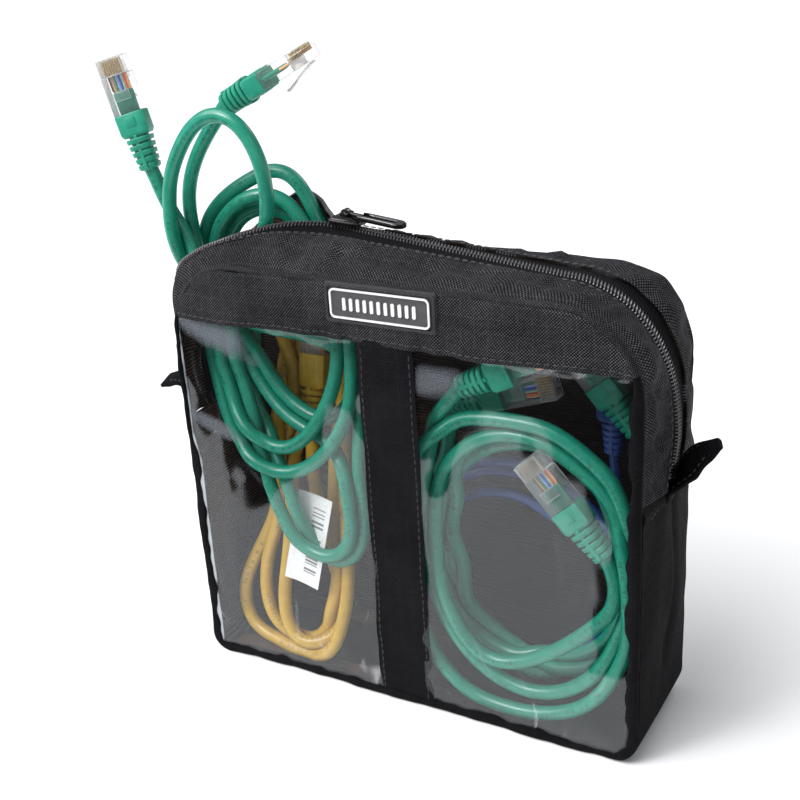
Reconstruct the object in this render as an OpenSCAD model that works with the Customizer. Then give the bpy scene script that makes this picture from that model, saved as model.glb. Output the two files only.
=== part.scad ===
// Zipped nylon pouch with two clear front windows, holding coiled network patch leads.
// Units are millimetres. +Z is up, the front faces -Y, and the origin is on the
// resting surface below the middle of the pouch.

/* [Pouch] */
// Width of the pouch across its front
body_w = 190; // [186:1:194]
// Height of the front panel
body_h = 174; // [172:1:178]
// Depth from the front panel to the back panel
body_d = 54; // [52:1:56]
// Radius of the two top corners
top_r = 30; // [26:1:34]
// Radius of the two bottom corners
bottom_r = 10; // [8:1:14]
// Thickness of the lined nylon cloth
cloth_t = 1; // [0.8:0.1:1.2]
// Thickness of the clear window sheet
film_t = 0.5; // [0.3:0.1:0.6]
// Height of the plain cloth band above the windows
band_h = 23; // [18:1:28]
// Width of the cloth strip between the windows
strip_w = 23; // [18:1:28]
// Thickness of the bound edge round the front and back panels
piping_d = 3.2; // [2.4:0.2:3.6]

/* [Zip] */
// Height at which the zip ends are sewn into the side seams
seam_z = 105; // [100:1:110]
// Diameter of one row of coil teeth
tooth_d = 2.3; // [2:0.1:2.4]
// Share of each upper gusset that is cloth, the rest being zip tape
cloth_share = 0.72; // [0.65:0.01:0.8]
// Length of the slider along the chain
slider_l = 12; // [10:0.5:13]
// Length of the puller from its pin to its tip
puller_l = 25; // [20:1:28]

/* [Badge] */
// Width of the rubber badge
badge_w = 45; // [36:1:48]
// Height of the rubber badge
badge_h = 15; // [12:1:16]
// Thickness of the rubber badge
badge_t = 1.6; // [1:0.1:2.2]

/* [Leads] */
// Diameter of the green and yellow leads
lead_d = 5.6; // [5:0.1:6]
// Diameter of the slim blue lead
slim_d = 4; // [3.6:0.1:4.4]

/* [Hidden] */
$fn = 48;
hw = body_w / 2;
hd = body_d / 2;
band_z = body_h - band_h;
sew = 1.6;                  // how far panels stop short of the outer edge
play = 0.15;                // clearance between moving pieces

// Slider: rest place on the chain, and the slope of the straight run to its right
slider_at = [-28.4, 0, 184.73];
chain_slope = 6.6;

// Upper gusset: matching stations along its sewn edge and along the zip, from the
// right side seam over the top to the left side seam. The last eight stations are open.
edge_line = [
    [hw, seam_z], [hw, 125], [hw, body_h - top_r], corner(67.5), corner(45), corner(22.5),
    [hw - top_r, body_h], [52, body_h], [16, body_h], [-14, body_h], [-30, body_h],
    [-44, body_h], [-56, body_h], [top_r - hw, body_h], mirror_x(corner(22.5)),
    mirror_x(corner(45)), mirror_x(corner(67.5)), [-hw, body_h - top_r], [-hw, 125], [-hw, seam_z]
];
zip_front = [
    [96, -1.5, 105], [98, -1.5, 122], [96.5, -1.5, 139], [93, -1.5, 150], [87, -1.5, 160],
    [78, -1.5, 168.5], on_line(66, -1.5), on_line(52, -1.5), on_line(16, -1.5), on_line(-14, -1.5),
    on_line(-32, -1.6), [-41, -5, 186.2], [-50, -10.5, 186.5], [-62, -15.5, 184], [-74, -17.5, 180],
    [-87, -18, 174.5], [-98, -16, 166], [-100.7, -12, 151.5], [-99.8, -2.8, 136], [-97, -1.5, 105]
];
zip_back = [
    [96, 1.5, 105], [98, 1.5, 122], [96.5, 1.5, 139], [93, 1.5, 150], [87, 1.5, 160],
    [78, 1.5, 168.5], on_line(66, 1.5), on_line(52, 1.5), on_line(16, 1.5), on_line(-14, 1.5),
    on_line(-32, 1.6), [-41, 7, 187.7], [-50, 15, 190], [-62, 21.5, 190.5], [-74, 24, 184.5],
    [-86, 24, 175], [-96.5, 16, 164], [-100.5, 7, 150], [-99.8, 2, 136], [-97, 1.5, 105]
];
function corner(a) = [hw - top_r + top_r * sin(a), body_h - top_r + top_r * cos(a)];
function mirror_x(p) = [-p[0], p[1]];
// Point on the straight run of the chain
function on_line(x, y) = [x, y, slider_at[2] - (x - slider_at[0]) * tan(chain_slope)];

// Puller pin, from the middle of the slider
pin_r = 0.9;
pin_at = [-1, 0, 4.9];

// Green lead A: a long loop that leans back and to the left, in the open mouth
a_mid = [-64.5, -6.75, 145];
a_lean = 14;
a_tilt = 20;
a_p1 = [[-112, -8, 203.5], [-108, -8, 194], [-104, -8, 183], [-99, -7, 172], [-95, -7, 160]];
a_p2 = [[-78, 0, 228], [-88, 0, 217], [-96, 0, 206], [-101, 0, 194], [-102, 0, 181],
        [-99, -2, 168], [-95, -3, 157]];
a_arch = [[-97, -7, 160], [-101, -8, 173], [-103, -10, 186], [-100, -12, 200], [-93, -13, 212],
          [-84, -14, 222], [-73, -14, 227], [-63, -14, 223], [-57, -13, 212], [-56, -11, 199],
          [-59, -9, 186], [-66, -7, 173], [-75, -5, 162], [-84, -4, 152]];
a_low = [[-69, -15, 104], [-65, -19, 90], [-60, -20, 76], [-53, -20, 64], [-43, -21, 56],
         [-32, -21, 55], [-25, -21, 64], [-24, -20, 77], [-26, -18, 90], [-30, -16, 103]];
a_low2 = [[-53, -20.6, 88], [-51, -20.6, 79], [-46, -20.6, 70], [-41, -20.6, 62], [-36, -20.6, 56.5]];
// Yellow lead: a long loop that leans back below and behind lead A
y_mid = [-58, -4.5, 50];
y_lean = 14;
y_p1 = [[-55, 5, 101], [-55, 3, 92], [-55, 1, 83]];
y_p2 = [[-62, 16, 158], [-70, 15, 150], [-72, 13, 138], [-68, 11, 124], [-65, 8, 112]];
// Green lead B: a round-ended coil flat behind the right window
b_mid = [48, -18.75, 68];
b_p3 = [[80, -20, 81], [85, -19, 71], [88, -18, 60]];
b_p4 = [[25, -18, 136], [16, -18, 124], [10, -18, 111], [8, -18, 97]];
// Green lead C: the same behind lead B
c_mid = [46, -4, 66];
c_p5 = [[14, -4, 123], [9, -4, 111], [8, -4, 97], [10, -4, 84]];
c_p6 = [[82, 6, 118], [86, 4, 107], [85, 0, 95], [82, -4, 84]];
// Slim blue lead D: a round coil at the back
d_mid = [33, 10, 50];
d_p7 = [[84, 15, 96], [84, 14, 84], [80, 11, 72], [75, 10, 62]];
d_p8 = [[70, 15, 104], [71, 14, 94], [72, 12, 84], [70, 10, 73]];

// Plugs: cable end of the boot, and the turns about X, Y and Z that aim it
at_p1 = [[-112, -8, 203.5], [112, -107, 0]];
at_p2 = [[-78, 0, 228], [10, -27, 0]];
at_y1 = [[-55, 5, 101], [0, -78, 90]];
at_y2 = [[-62, 16, 158], [90, 0, 0]];
at_p3 = [[80, -20, 81], [90, -132, 0]];
at_p4 = [[25, -18, 136], [90, -26, 0]];
at_p5 = [[14, -4, 123], [90, -18, 0]];
at_p6 = [[82, 6, 118], [-90, -130, 0]];
at_p7 = [[84, 15, 96], [90, -90, 0]];
at_p8 = [[70, 15, 104], [90, -90, 0]];
rib_l = 13;                 // ribbed part of a boot
boot_l = 22;                // whole boot
plug_l = 21.5;
plug_w = 11.7;
plug_h = 6.6;
latch_x = boot_l + 19.5;    // latch hinge line, from the boot's cable end
latch_rest = 16;            // how far the latch stands off the plug, in degrees

// ---- curves and sheets -------------------------------------------------------------
function unit(v) = v / norm(v);
function blend(p, q, t) = p * (1 - t) + q * t;
function catmull(a, b, c, d, t) =
    0.5 * (2 * b + (c - a) * t + (2 * a - 5 * b + 4 * c - d) * t * t
           + (3 * b - a - 3 * c + d) * t * t * t);
function smooth(P, n) = let (m = len(P) - 1) [
    for (i = [0 : m - 1]) for (k = [0 : n - 1])
        catmull(P[max(i - 1, 0)], P[i], P[i + 1], P[min(i + 2, m)], k / n),
    P[m]
];
function tangent(P, i) = unit(P[min(i + 1, len(P) - 1)] - P[max(i - 1, 0)]);

// A solid swept along P. It has rings of n points; an open one is closed at its ends.
module sweep_rings(rings, closed = false) {
    m = len(rings);
    n = len(rings[0]);
    last = closed ? m - 1 : m - 2;
    points = [for (r = rings) for (p = r) p];
    sides = [for (i = [0 : last]) for (k = [0 : n - 1]) let (j = (i + 1) % m, l = (k + 1) % n)
        each [[i * n + k, i * n + l, j * n + l], [i * n + k, j * n + l, j * n + k]]];
    caps = closed ? [] : [[for (k = [n - 1 : -1 : 0]) k], [for (k = [0 : n - 1]) (m - 1) * n + k]];
    polyhedron(points, concat(sides, caps), convexity = 10);
}

// Round tube along P, with r its radius. P never runs along Y.
module tube(P, r, n = 8) {
    sweep_rings([for (i = [0 : len(P) - 1])
        let (t = tangent(P, i), s = unit(cross(t, [0, 1, 0])), u = cross(s, t))
        [for (k = [0 : n - 1]) let (a = 360 * (k + 0.5) / n) P[i] + r * (cos(a) * s + sin(a) * u)]]);
}

// Sheet of thickness t whose outer face runs through rows of points. The thickness
// goes to the inner side, and lift first moves each column of points that way.
module sheet(rows, t, lift = [0, 0, 0, 0]) {
    m = len(rows);
    n = len(rows[0]);
    normals = [for (i = [0 : m - 1]) [for (k = [0 : n - 1])
        unit(cross(rows[min(i + 1, m - 1)][k] - rows[max(i - 1, 0)][k],
                   rows[i][min(k + 1, n - 1)] - rows[i][max(k - 1, 0)]))]];
    sweep_rings([for (i = [0 : m - 1]) concat(
        [for (k = [0 : n - 1]) rows[i][k] + normals[i][k] * (lift[k] + t)],
        [for (k = [n - 1 : -1 : 0]) rows[i][k] + normals[i][k] * lift[k]])]);
}

// ---- pouch -------------------------------------------------------------------------
module outline(inset = 0) {
    rt = top_r - inset;
    rb = bottom_r - inset;
    union() {
        for (s = [-1, 1]) {
            translate([s * (hw - top_r), body_h - top_r]) circle(rt);
            translate([s * (hw - bottom_r), bottom_r]) circle(rb);
        }
        translate([inset - hw, bottom_r]) square([body_w - 2 * inset, body_h - top_r - bottom_r]);
        translate([top_r - hw, body_h - top_r - 1]) square([body_w - 2 * top_r, rt + 1]);
        translate([bottom_r - hw, inset]) square([body_w - 2 * bottom_r, bottom_r]);
    }
}
// Upright plate with the given outline, its front face at y
module upright(y, t) {
    translate([0, y + t, 0]) rotate([90, 0, 0]) linear_extrude(t) children();
}

module front_top_band() {
    color([0.09, 0.09, 0.1]) upright(-hd - 0.4, 0.8) intersection() {
        outline(sew);
        translate([-hw, band_z]) square([body_w, band_h]);
    }
}
module front_center_strip() {
    color([0.09, 0.09, 0.1]) upright(-hd - 0.4, 0.8)
        translate([-strip_w / 2, sew]) square([strip_w, band_z - sew]);
}
module window(side) {
    color([0.85, 0.88, 0.9, 0.35]) upright(-hd + 0.4, film_t) intersection() {
        outline(sew);
        translate([side > 0 ? strip_w / 2 - 3 : -hw, 0]) square([hw - strip_w / 2 + 3, band_z + 3]);
    }
}
module bound_edge(y) {
    r = piping_d / 2;
    steps = 10;
    path = [
        for (c = [[1, 1], [-1, 1], [-1, -1], [1, -1]])
        let (cr = c[1] > 0 ? top_r : bottom_r, first = c[0] > 0 ? (c[1] > 0 ? 0 : 270) : (c[1] > 0 ? 90 : 180))
        for (k = [0 : steps]) let (a = first + 90 * k / steps)
        [c[0] * (hw - cr) + (cr - r) * cos(a), y, (c[1] > 0 ? body_h - cr : cr) + (cr - r) * sin(a)]
    ];
    m = len(path);
    color([0.06, 0.06, 0.07]) sweep_rings([for (i = [0 : m - 1])
        let (t = unit(path[(i + 1) % m] - path[(i + m - 1) % m]), s = cross(t, [0, 1, 0]))
        [for (k = [0 : 7]) let (a = 360 * (k + 0.5) / 8) path[i] + r * (cos(a) * s + sin(a) * [0, 1, 0])]],
        closed = true);
}
module back_panel() {
    color([0.08, 0.08, 0.09]) upright(hd - cloth_t, cloth_t) outline(sew + cloth_t);
}
// Band that follows the outline between two depths, cut off above a height
module ring_band(inset, t, y0, y1, top) {
    upright(y0, y1 - y0) intersection() {
        difference() {
            outline(inset);
            outline(inset + t);
        }
        translate([-hw - 1, -1]) square([body_w + 2, top + 1]);
    }
}
module lower_gusset() {
    color([0.1, 0.1, 0.11]) ring_band(0, cloth_t, -hd + piping_d + 0.2, hd - piping_d - 0.2, seam_z);
}
module seam_tape_front() {
    color([0.16, 0.12, 0.1]) ring_band(cloth_t + 0.1, 0.5, -hd + piping_d, -hd + 12, seam_z - 1);
}
module seam_tape_back() {
    color([0.16, 0.12, 0.1]) ring_band(cloth_t + 0.1, 0.5, hd - 14, hd - piping_d, seam_z - 1);
}

// ---- zip ---------------------------------------------------------------------------
// Rows of points across an upper gusset, from share t0 to share t1 of its width
function gusset_rows(zip, y, t0, t1, n) = let (
    E = smooth([for (e = edge_line) [e[0], y, e[1]]], 4),
    Z = smooth(zip, 4)
) [for (i = [0 : len(E) - 1]) [for (k = [0 : n]) let (t = t0 + (t1 - t0) * k / n)
    blend(E[i], Z[i], t) + unit([E[i][0], 0, E[i][2] - 90]) * 2.2 * sin(180 * t)]];
module gusset(zip, y) {
    rows = gusset_rows(zip, y, 0, cloth_share, 3);
    color([0.1, 0.1, 0.11]) sheet(y < 0 ? rows : reverse_rows(rows), cloth_t);
}
module tape(zip, y) {
    tooth_share = 0.955;
    under = cloth_t + 0.05;
    lift = [under, under, 0.5, -0.1];
    rows = gusset_rows(zip, y, cloth_share - 0.05, tooth_share, 3);
    color([0.05, 0.05, 0.06]) if (y < 0) sheet(rows, 0.6, lift);
        else sheet(reverse_rows(rows), 0.6, [for (k = [3 : -1 : 0]) lift[k]]);
}
function reverse_rows(rows) = [for (r = rows) [for (k = [len(r) - 1 : -1 : 0]) r[k]]];
module teeth(zip) {
    color([0.04, 0.04, 0.05]) tube(smooth(zip, 4), tooth_d / 2);
}
module on_chain() {
    translate(slider_at) rotate([0, chain_slope, 0]) children();
}
module zip_slider() {
    w = 9;
    gap = tooth_d + 1.1;
    color([0.05, 0.05, 0.06]) on_chain() {
        difference() {
            translate([-slider_l / 2, -w / 2, 0.9]) cube([slider_l, w, gap / 2 + 0.1]);
            translate([-slider_l, -w / 2 + 0.8, 0]) cube([2 * slider_l, w - 1.6, gap / 2]);
        }
        translate([-slider_l / 2, 0.9 - w / 2, -gap / 2 - 1]) cube([slider_l, w - 1.8, 1]);
        translate([-slider_l / 2 + 0.5, -0.2, -gap / 2 - 0.1]) cube([3, 0.4, gap + 0.2]);
        for (s = [-1, 1]) translate([pin_at[0] - 2, s * 2.1 - 0.5, gap / 2 + 0.9])
            cube([4, 1, pin_at[2] - gap / 2 + 0.3]);
        translate(pin_at) rotate([90, 0, 0]) cylinder(r = pin_r, h = 4.4, center = true);
    }
}
module zip_puller() {
    t = 1.8;
    color([0.03, 0.03, 0.03]) on_chain() translate(pin_at) rotate([90, 0, 0]) difference() {
        union() {
            cylinder(r = 1.9, h = 2.6, center = true);
            translate([0, -t / 2, -1.3]) cube([7, t, 2.6]);
            translate([6, -t / 2, -3.2]) cube([puller_l - 9.2, t, 6.4]);
            translate([puller_l - 3.2, 0, 0]) rotate([90, 0, 0]) cylinder(r = 3.2, h = t, center = true);
        }
        cylinder(r = pin_r + 0.05, h = 4, center = true);
        translate([9.5, -t, -1.1]) cube([puller_l - 13, 2 * t, 2.2]);
    }
}
module zip_stops() {
    color([0.1, 0.1, 0.1]) for (p = [[98.2, 109.2], [-98.9, 109.2]])
        translate([p[0], 0, p[1]]) cube([1.2, 6.4, 3], center = true);
}
// Folded cloth tab over one end of the zip, bent outwards and up or down
module tab(P) {
    S = smooth(P, 4);
    color([0.07, 0.07, 0.08]) sweep_rings([for (i = [0 : len(S) - 1])
        let (t = tangent(S, i), u = cross(t, [0, 1, 0]), w = 7 - 2.5 * pow(i / (len(S) - 1), 3))
        [for (c = [[-1, 1], [1, 1], [1, -1], [-1, -1]]) S[i] + [0, c[0] * w, 0] + u * c[1] * 1.1]]);
}
module tab_right() {
    tab([[96.3, 0, 98.5], [97.6, 0, 102], [100, 0, 106.5], [103, 0, 111.5], [107.5, 0, 117], [113, 0, 121.5]]);
}
module tab_left() {
    tab([[-96.3, 0, 98.5], [-97.9, 0, 102], [-101, 0, 107], [-105.5, 0, 110.5], [-110.5, 0, 111], [-116, 0, 109]]);
}

// ---- badge -------------------------------------------------------------------------
badge_z = band_z + 14.6;
module rounded_plate(w, h, r) {
    for (s = [-1, 1]) for (k = [-1, 1]) translate([s * (w / 2 - r), k * (h / 2 - r)]) circle(r);
    square([w - 2 * r, h], center = true);
    square([w, h - 2 * r], center = true);
}
module badge() {
    color([0.13, 0.13, 0.14]) upright(-hd - 0.4 - badge_t, badge_t)
        translate([0, badge_z]) rounded_plate(badge_w, badge_h, 1.5);
}
module badge_emblem() {
    relief = 0.5;
    color([0.85, 0.85, 0.85]) upright(-hd - 0.4 - badge_t - relief, relief) translate([0, badge_z]) {
        difference() {
            rounded_plate(badge_w - 5, badge_h - 4, 2);
            rounded_plate(badge_w - 6.4, badge_h - 5.4, 1.3);
        }
        for (i = [-5 : 5]) translate([i * 2.8, 0]) rounded_plate(1.3, 4.6, 0.5);
    }
}

// ---- leads -------------------------------------------------------------------------
// Round-ended loop of cable, seen from the front, h half its straight part
module stadium(r, h) {
    for (s = [-1, 1]) translate([0, s * h]) circle(r);
    if (h > 0) square([2 * r, 2 * h], center = true);
}
module coil(mid, lean, tilt, r_out, r_in, h, t) {
    translate(mid) rotate([-lean, 0, 0]) rotate([0, -tilt, 0]) rotate([90, 0, 0])
        linear_extrude(t, center = true) difference() {
            stadium(r_out, h);
            stadium(r_in, h);
        }
}
module aim(at) {
    translate(at[0]) rotate(at[1]) children();
}
module boot(d) {
    rib_n = 5;
    pitch = rib_l / rib_n;
    rotate([0, 90, 0]) cylinder(r = d / 2 + 0.5, h = rib_l);
    for (k = [0 : rib_n - 1]) translate([pitch * k, 0, 0]) rotate([0, 90, 0])
        cylinder(r = d / 2 + 1 + 0.15 * k, h = pitch * 0.55);
    translate([rib_l, -5.75, -4]) cube([boot_l - rib_l, 11.5, 8]);
}
module plug() {
    translate([boot_l, 0, 0]) difference() {
        translate([0, -plug_w / 2, -plug_h / 2]) cube([plug_l, plug_w, plug_h]);
        translate([-1, -4.7, -1.2]) cube([14.5, 9.4, 2.6]);
        for (k = [0 : 7]) translate([plug_l - 6.5, core_y(k) - 0.3, plug_h / 2 - 1.6]) cube([7, 0.6, 2]);
    }
}
function core_y(k) = (k - 3.5) * 1.02;
module contacts() {
    for (k = [0 : 7]) translate([boot_l + plug_l - 6.3, core_y(k) - 0.2, plug_h / 2 - 1.5])
        cube([5.6, 0.4, 1.2]);
}
module cores() {
    for (k = [0 : 7]) translate([boot_l + 0.3, core_y(k) - 0.44, -0.9]) cube([12.8, 0.88, 0.9]);
}
module latch() {
    translate([latch_x, 0, -plug_h / 2 - play - 0.5]) rotate([0, -latch_rest, 0]) {
        translate([-7, -3, -0.45]) cube([7, 6, 0.9]);
        translate([-14.5, -1.7, -0.45]) cube([7.5, 3.4, 0.9]);
        rotate([90, 0, 0]) cylinder(r = 0.45, h = 6, center = true);
    }
}
green = [0.05, 0.5, 0.36];
yellow = [0.85, 0.62, 0.12];
blue = [0.1, 0.22, 0.5];
clear = [0.9, 0.92, 0.92, 0.5];
gold = [0.8, 0.62, 0.3];
core_white = [0.85, 0.5, 0.3];

module lead_a_coil() { color(green) coil(a_mid, a_lean, a_tilt, 31, 17, 27.5, 11.5); }
module lead_a_tails() { color(green) for (P = [a_p1, a_p2, a_arch, a_low, a_low2]) tube(P, lead_d / 2); }
module lead_a_boots() { color(green) for (p = [at_p1, at_p2]) aim(p) boot(lead_d); }
module lead_a_plugs() { color(clear) for (p = [at_p1, at_p2]) aim(p) plug(); }
module lead_a_contacts() { color(gold) for (p = [at_p1, at_p2]) aim(p) contacts(); }
module lead_a_cores() { color(core_white) for (p = [at_p1, at_p2]) aim(p) cores(); }
module lead_a_latch_1() { color(clear) aim(at_p1) latch(); }
module lead_a_latch_2() { color(clear) aim(at_p2) latch(); }

module yellow_coil() {
    color(yellow) translate(y_mid) rotate([-y_lean, 0, 0]) rotate([90, 0, 0])
        linear_extrude(10, center = true) difference() {
            drop_shape(27, 15);
            drop_shape(16, 4);
        }
}
module drop_shape(r_low, r_high) {
    hull() {
        translate([0, -18]) circle(r_low);
        translate([-3, 58]) circle(r_high);
    }
}
module yellow_tails() { color(yellow) for (P = [y_p1, y_p2]) tube(P, lead_d / 2); }
module yellow_boots() { color(yellow) for (p = [at_y1, at_y2]) aim(p) boot(lead_d); }
module yellow_plugs() { color(clear) for (p = [at_y1, at_y2]) aim(p) plug(); }
module yellow_label() {
    color([0.9, 0.9, 0.9]) translate([-47, -17.2, 58]) rotate([-y_lean, 0, 0]) rotate([0, 7, 0])
        cube([17, 0.4, 38], center = true);
}
module yellow_latch_1() { color(clear) aim(at_y1) latch(); }
module yellow_latch_2() { color(clear) aim(at_y2) latch(); }

module lead_b_coil() { color(green) coil(b_mid, 0, 0, 44, 35, 14, 11.5); }
module lead_b_tails() { color(green) for (P = [b_p3, b_p4]) tube(P, lead_d / 2); }
module lead_b_boots() { color(green) for (p = [at_p3, at_p4]) aim(p) boot(lead_d); }
module lead_b_plugs() { color(clear) for (p = [at_p3, at_p4]) aim(p) plug(); }
module lead_b_latch_1() { color(clear) aim(at_p3) latch(); }
module lead_b_latch_2() { color(clear) aim(at_p4) latch(); }

module lead_c_coil() { color(green) coil(c_mid, 0, 0, 41, 32, 12, 11); }
module lead_c_tails() { color(green) for (P = [c_p5, c_p6]) tube(P, lead_d / 2); }
module lead_c_boots() { color(green) for (p = [at_p5, at_p6]) aim(p) boot(lead_d); }
module lead_c_plugs() { color(clear) for (p = [at_p5, at_p6]) aim(p) plug(); }
module lead_c_latch_1() { color(clear) aim(at_p5) latch(); }
module lead_c_latch_2() { color(clear) aim(at_p6) latch(); }

module blue_coil() { color(blue) coil(d_mid, 0, 0, 47, 40, 0, 8); }
module blue_tails() { color(blue) for (P = [d_p7, d_p8]) tube(P, slim_d / 2); }
module blue_boots() { color(blue) for (p = [at_p7, at_p8]) aim(p) boot(slim_d); }
module blue_plugs() { color(clear) for (p = [at_p7, at_p8]) aim(p) plug(); }
module blue_latch_1() { color(clear) aim(at_p7) latch(); }
module blue_latch_2() { color(clear) aim(at_p8) latch(); }

stored = [at_y1, at_y2, at_p3, at_p4, at_p5, at_p6, at_p7, at_p8];
module stored_contacts() { color(gold) for (p = stored) aim(p) contacts(); }
module stored_cores() { color(core_white) for (p = stored) aim(p) cores(); }

// ---- assembly ----------------------------------------------------------------------
front_top_band();
front_center_strip();
window(-1);  // window_left
window(1);  // window_right
bound_edge(-hd + piping_d / 2 - 0.4);  // front_piping
back_panel();
bound_edge(hd - piping_d / 2 + 0.4);  // back_piping
lower_gusset();
gusset(zip_front, -hd + piping_d);  // zip_gusset_front
gusset(zip_back, hd - piping_d);  // zip_gusset_back
tape(zip_front, -hd + piping_d);  // zip_tape_front
tape(zip_back, hd - piping_d);  // zip_tape_back
teeth(zip_front);  // zip_teeth_front
teeth(zip_back);  // zip_teeth_back
zip_slider();
zip_puller();
zip_stops();
tab_left();
tab_right();
badge();
badge_emblem();
seam_tape_front();
seam_tape_back();
lead_a_coil();
lead_a_tails();
lead_a_boots();
lead_a_plugs();
lead_a_contacts();
lead_a_cores();
lead_a_latch_1();
lead_a_latch_2();
yellow_coil();
yellow_tails();
yellow_boots();
yellow_plugs();
yellow_label();
yellow_latch_1();
yellow_latch_2();
lead_b_coil();
lead_b_tails();
lead_b_boots();
lead_b_plugs();
lead_b_latch_1();
lead_b_latch_2();
lead_c_coil();
lead_c_tails();
lead_c_boots();
lead_c_plugs();
lead_c_latch_1();
lead_c_latch_2();
blue_coil();
blue_tails();
blue_boots();
blue_plugs();
blue_latch_1();
blue_latch_2();
stored_contacts();
stored_cores();
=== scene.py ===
"""Zipped black nylon pouch with two clear windows, holding coiled network patch leads."""
import math

import bmesh
import bpy
import numpy as np
from mathutils import Matrix, Vector


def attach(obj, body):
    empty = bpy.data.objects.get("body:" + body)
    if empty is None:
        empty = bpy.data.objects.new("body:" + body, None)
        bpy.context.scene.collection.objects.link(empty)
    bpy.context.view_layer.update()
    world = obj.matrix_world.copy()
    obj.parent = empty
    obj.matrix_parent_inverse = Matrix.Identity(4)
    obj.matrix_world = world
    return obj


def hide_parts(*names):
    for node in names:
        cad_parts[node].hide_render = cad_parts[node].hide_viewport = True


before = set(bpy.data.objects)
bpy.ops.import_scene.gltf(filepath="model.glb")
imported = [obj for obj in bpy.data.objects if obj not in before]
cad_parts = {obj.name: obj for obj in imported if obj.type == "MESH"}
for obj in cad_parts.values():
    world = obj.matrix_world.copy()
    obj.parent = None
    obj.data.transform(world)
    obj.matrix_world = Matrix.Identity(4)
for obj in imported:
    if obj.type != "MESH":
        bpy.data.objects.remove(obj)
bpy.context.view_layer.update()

MM = 0.001
TAU = 2 * math.pi

# ---- camera ------------------------------------------------------------------------
scene = bpy.context.scene
scene.view_settings.view_transform = "Standard"


def aim_camera():
    where, target = Vector((0.2152, -0.3838, 0.3053)), Vector((0.00507, -0.027, 0.1311))
    back = (where - target).normalized()
    right = Vector((0, 0, 1)).cross(back).normalized()
    up = back.cross(right)
    c, s = math.cos(math.radians(-3.48)), math.sin(math.radians(-3.48))
    right, up = c * right + s * up, -s * right + c * up
    data = bpy.data.cameras.new("camera")
    data.lens, data.sensor_width = 56.77, 36
    data.clip_start = 0.01
    camera = bpy.data.objects.new("camera", data)
    m = Matrix((right, up, back)).transposed().to_4x4()
    m.translation = where
    camera.matrix_world = m
    scene.collection.objects.link(camera)
    scene.camera = camera


aim_camera()


# ---- mesh helpers ------------------------------------------------------------------
def link(name, mesh, mats, sharp=50):
    """An object from a mesh whose points are in millimetres."""
    mesh.transform(Matrix.Scale(MM, 4))
    mesh.polygons.foreach_set("use_smooth", [True] * len(mesh.polygons))
    mesh.set_sharp_from_angle(angle=math.radians(sharp))
    for m in mats if isinstance(mats, (list, tuple)) else [mats]:
        mesh.materials.append(m)
    obj = bpy.data.objects.new(name, mesh)
    scene.collection.objects.link(obj)
    return obj


def put(obj, body, slot, *nodes):
    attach(obj, body)
    if nodes:
        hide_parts(*nodes)
    return obj


def mesh_of(name, verts, faces, uvs=None):
    """A mesh with outward faces; uvs holds one (u, v) in mm per corner of each face."""
    me = bpy.data.meshes.new(name)
    me.from_pydata(np.asarray(verts, float).tolist(), [], [list(map(int, f)) for f in faces])
    if uvs is not None:
        layer = me.uv_layers.new(name="UVMap")
        layer.data.foreach_set("uv", (np.concatenate([np.reshape(u, (-1, 2)) for u in uvs]) * MM).ravel())
    bm = bmesh.new()
    bm.from_mesh(me)
    bmesh.ops.recalc_face_normals(bm, faces=bm.faces[:])
    bm.to_mesh(me)
    bm.free()
    return me


def grid_faces(m, n, ring=False, closed=False):
    """Faces of a grid of m by n points; ring joins its columns round, and closed joins its rows."""
    idx = np.arange(m * n).reshape(m, n)
    if ring:
        idx = np.concatenate([idx, idx[:, :1]], 1)
    if closed:
        idx = np.concatenate([idx, idx[:1]], 0)
    return np.stack([idx[:-1, :-1], idx[1:, :-1], idx[1:, 1:], idx[:-1, 1:]], -1).reshape(-1, 4)


def grid_uvs(u, v):
    """Corner coordinates of a grid's faces, for u and v arrays shaped like the grid."""
    uv = np.stack([u, v], -1)
    return np.stack([uv[:-1, :-1], uv[1:, :-1], uv[1:, 1:], uv[:-1, 1:]], 2).reshape(-1, 2)


def normals_of(g):
    n = np.cross(np.gradient(g, axis=0), np.gradient(g, axis=1))
    return n / np.maximum(np.linalg.norm(n, axis=-1, keepdims=True), 1e-9)


def sheet_mesh(name, g, thick, u, v, flip=False):
    """A closed sheet whose outer face is the grid g, and whose inner face lies thick behind it."""
    m, n = g.shape[:2]
    inner = g + normals_of(g) * (thick if flip else -thick)
    verts = np.concatenate([g.reshape(-1, 3), inner.reshape(-1, 3)])
    faces, idx = grid_faces(m, n), np.arange(m * n).reshape(m, n)
    ring = np.concatenate([idx[0, :-1], idx[:-1, -1], idx[-1, :0:-1], idx[:0:-1, 0]])
    nxt = np.roll(ring, -1)
    rim = np.stack([ring, nxt, nxt + m * n, ring + m * n], -1)
    uv = np.stack([np.ravel(u), np.ravel(v)], -1)
    uvs = [grid_uvs(u, v), grid_uvs(u, v), uv[rim % (m * n)]]
    return mesh_of(name, verts, np.concatenate([faces, faces + m * n, rim]), uvs)


def waves(seed, n, low, high):
    """A smooth random field over (u, v) in mm, about -1 to 1, with wavelengths from low to high."""
    r = np.random.default_rng(seed)
    k = TAU / np.exp(r.uniform(np.log(low), np.log(high), n))
    a, ph, w = r.uniform(0, TAU, n), r.uniform(0, TAU, n), r.uniform(0.5, 1, n)
    norm = math.sqrt(float((w * w).sum())) / 1.2

    def field(u, v):
        total = 0
        for i in range(n):
            total = total + w[i] * np.sin(k[i] * (u * math.cos(a[i]) + v * math.sin(a[i])) + ph[i])
        return total / norm
    return field


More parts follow.
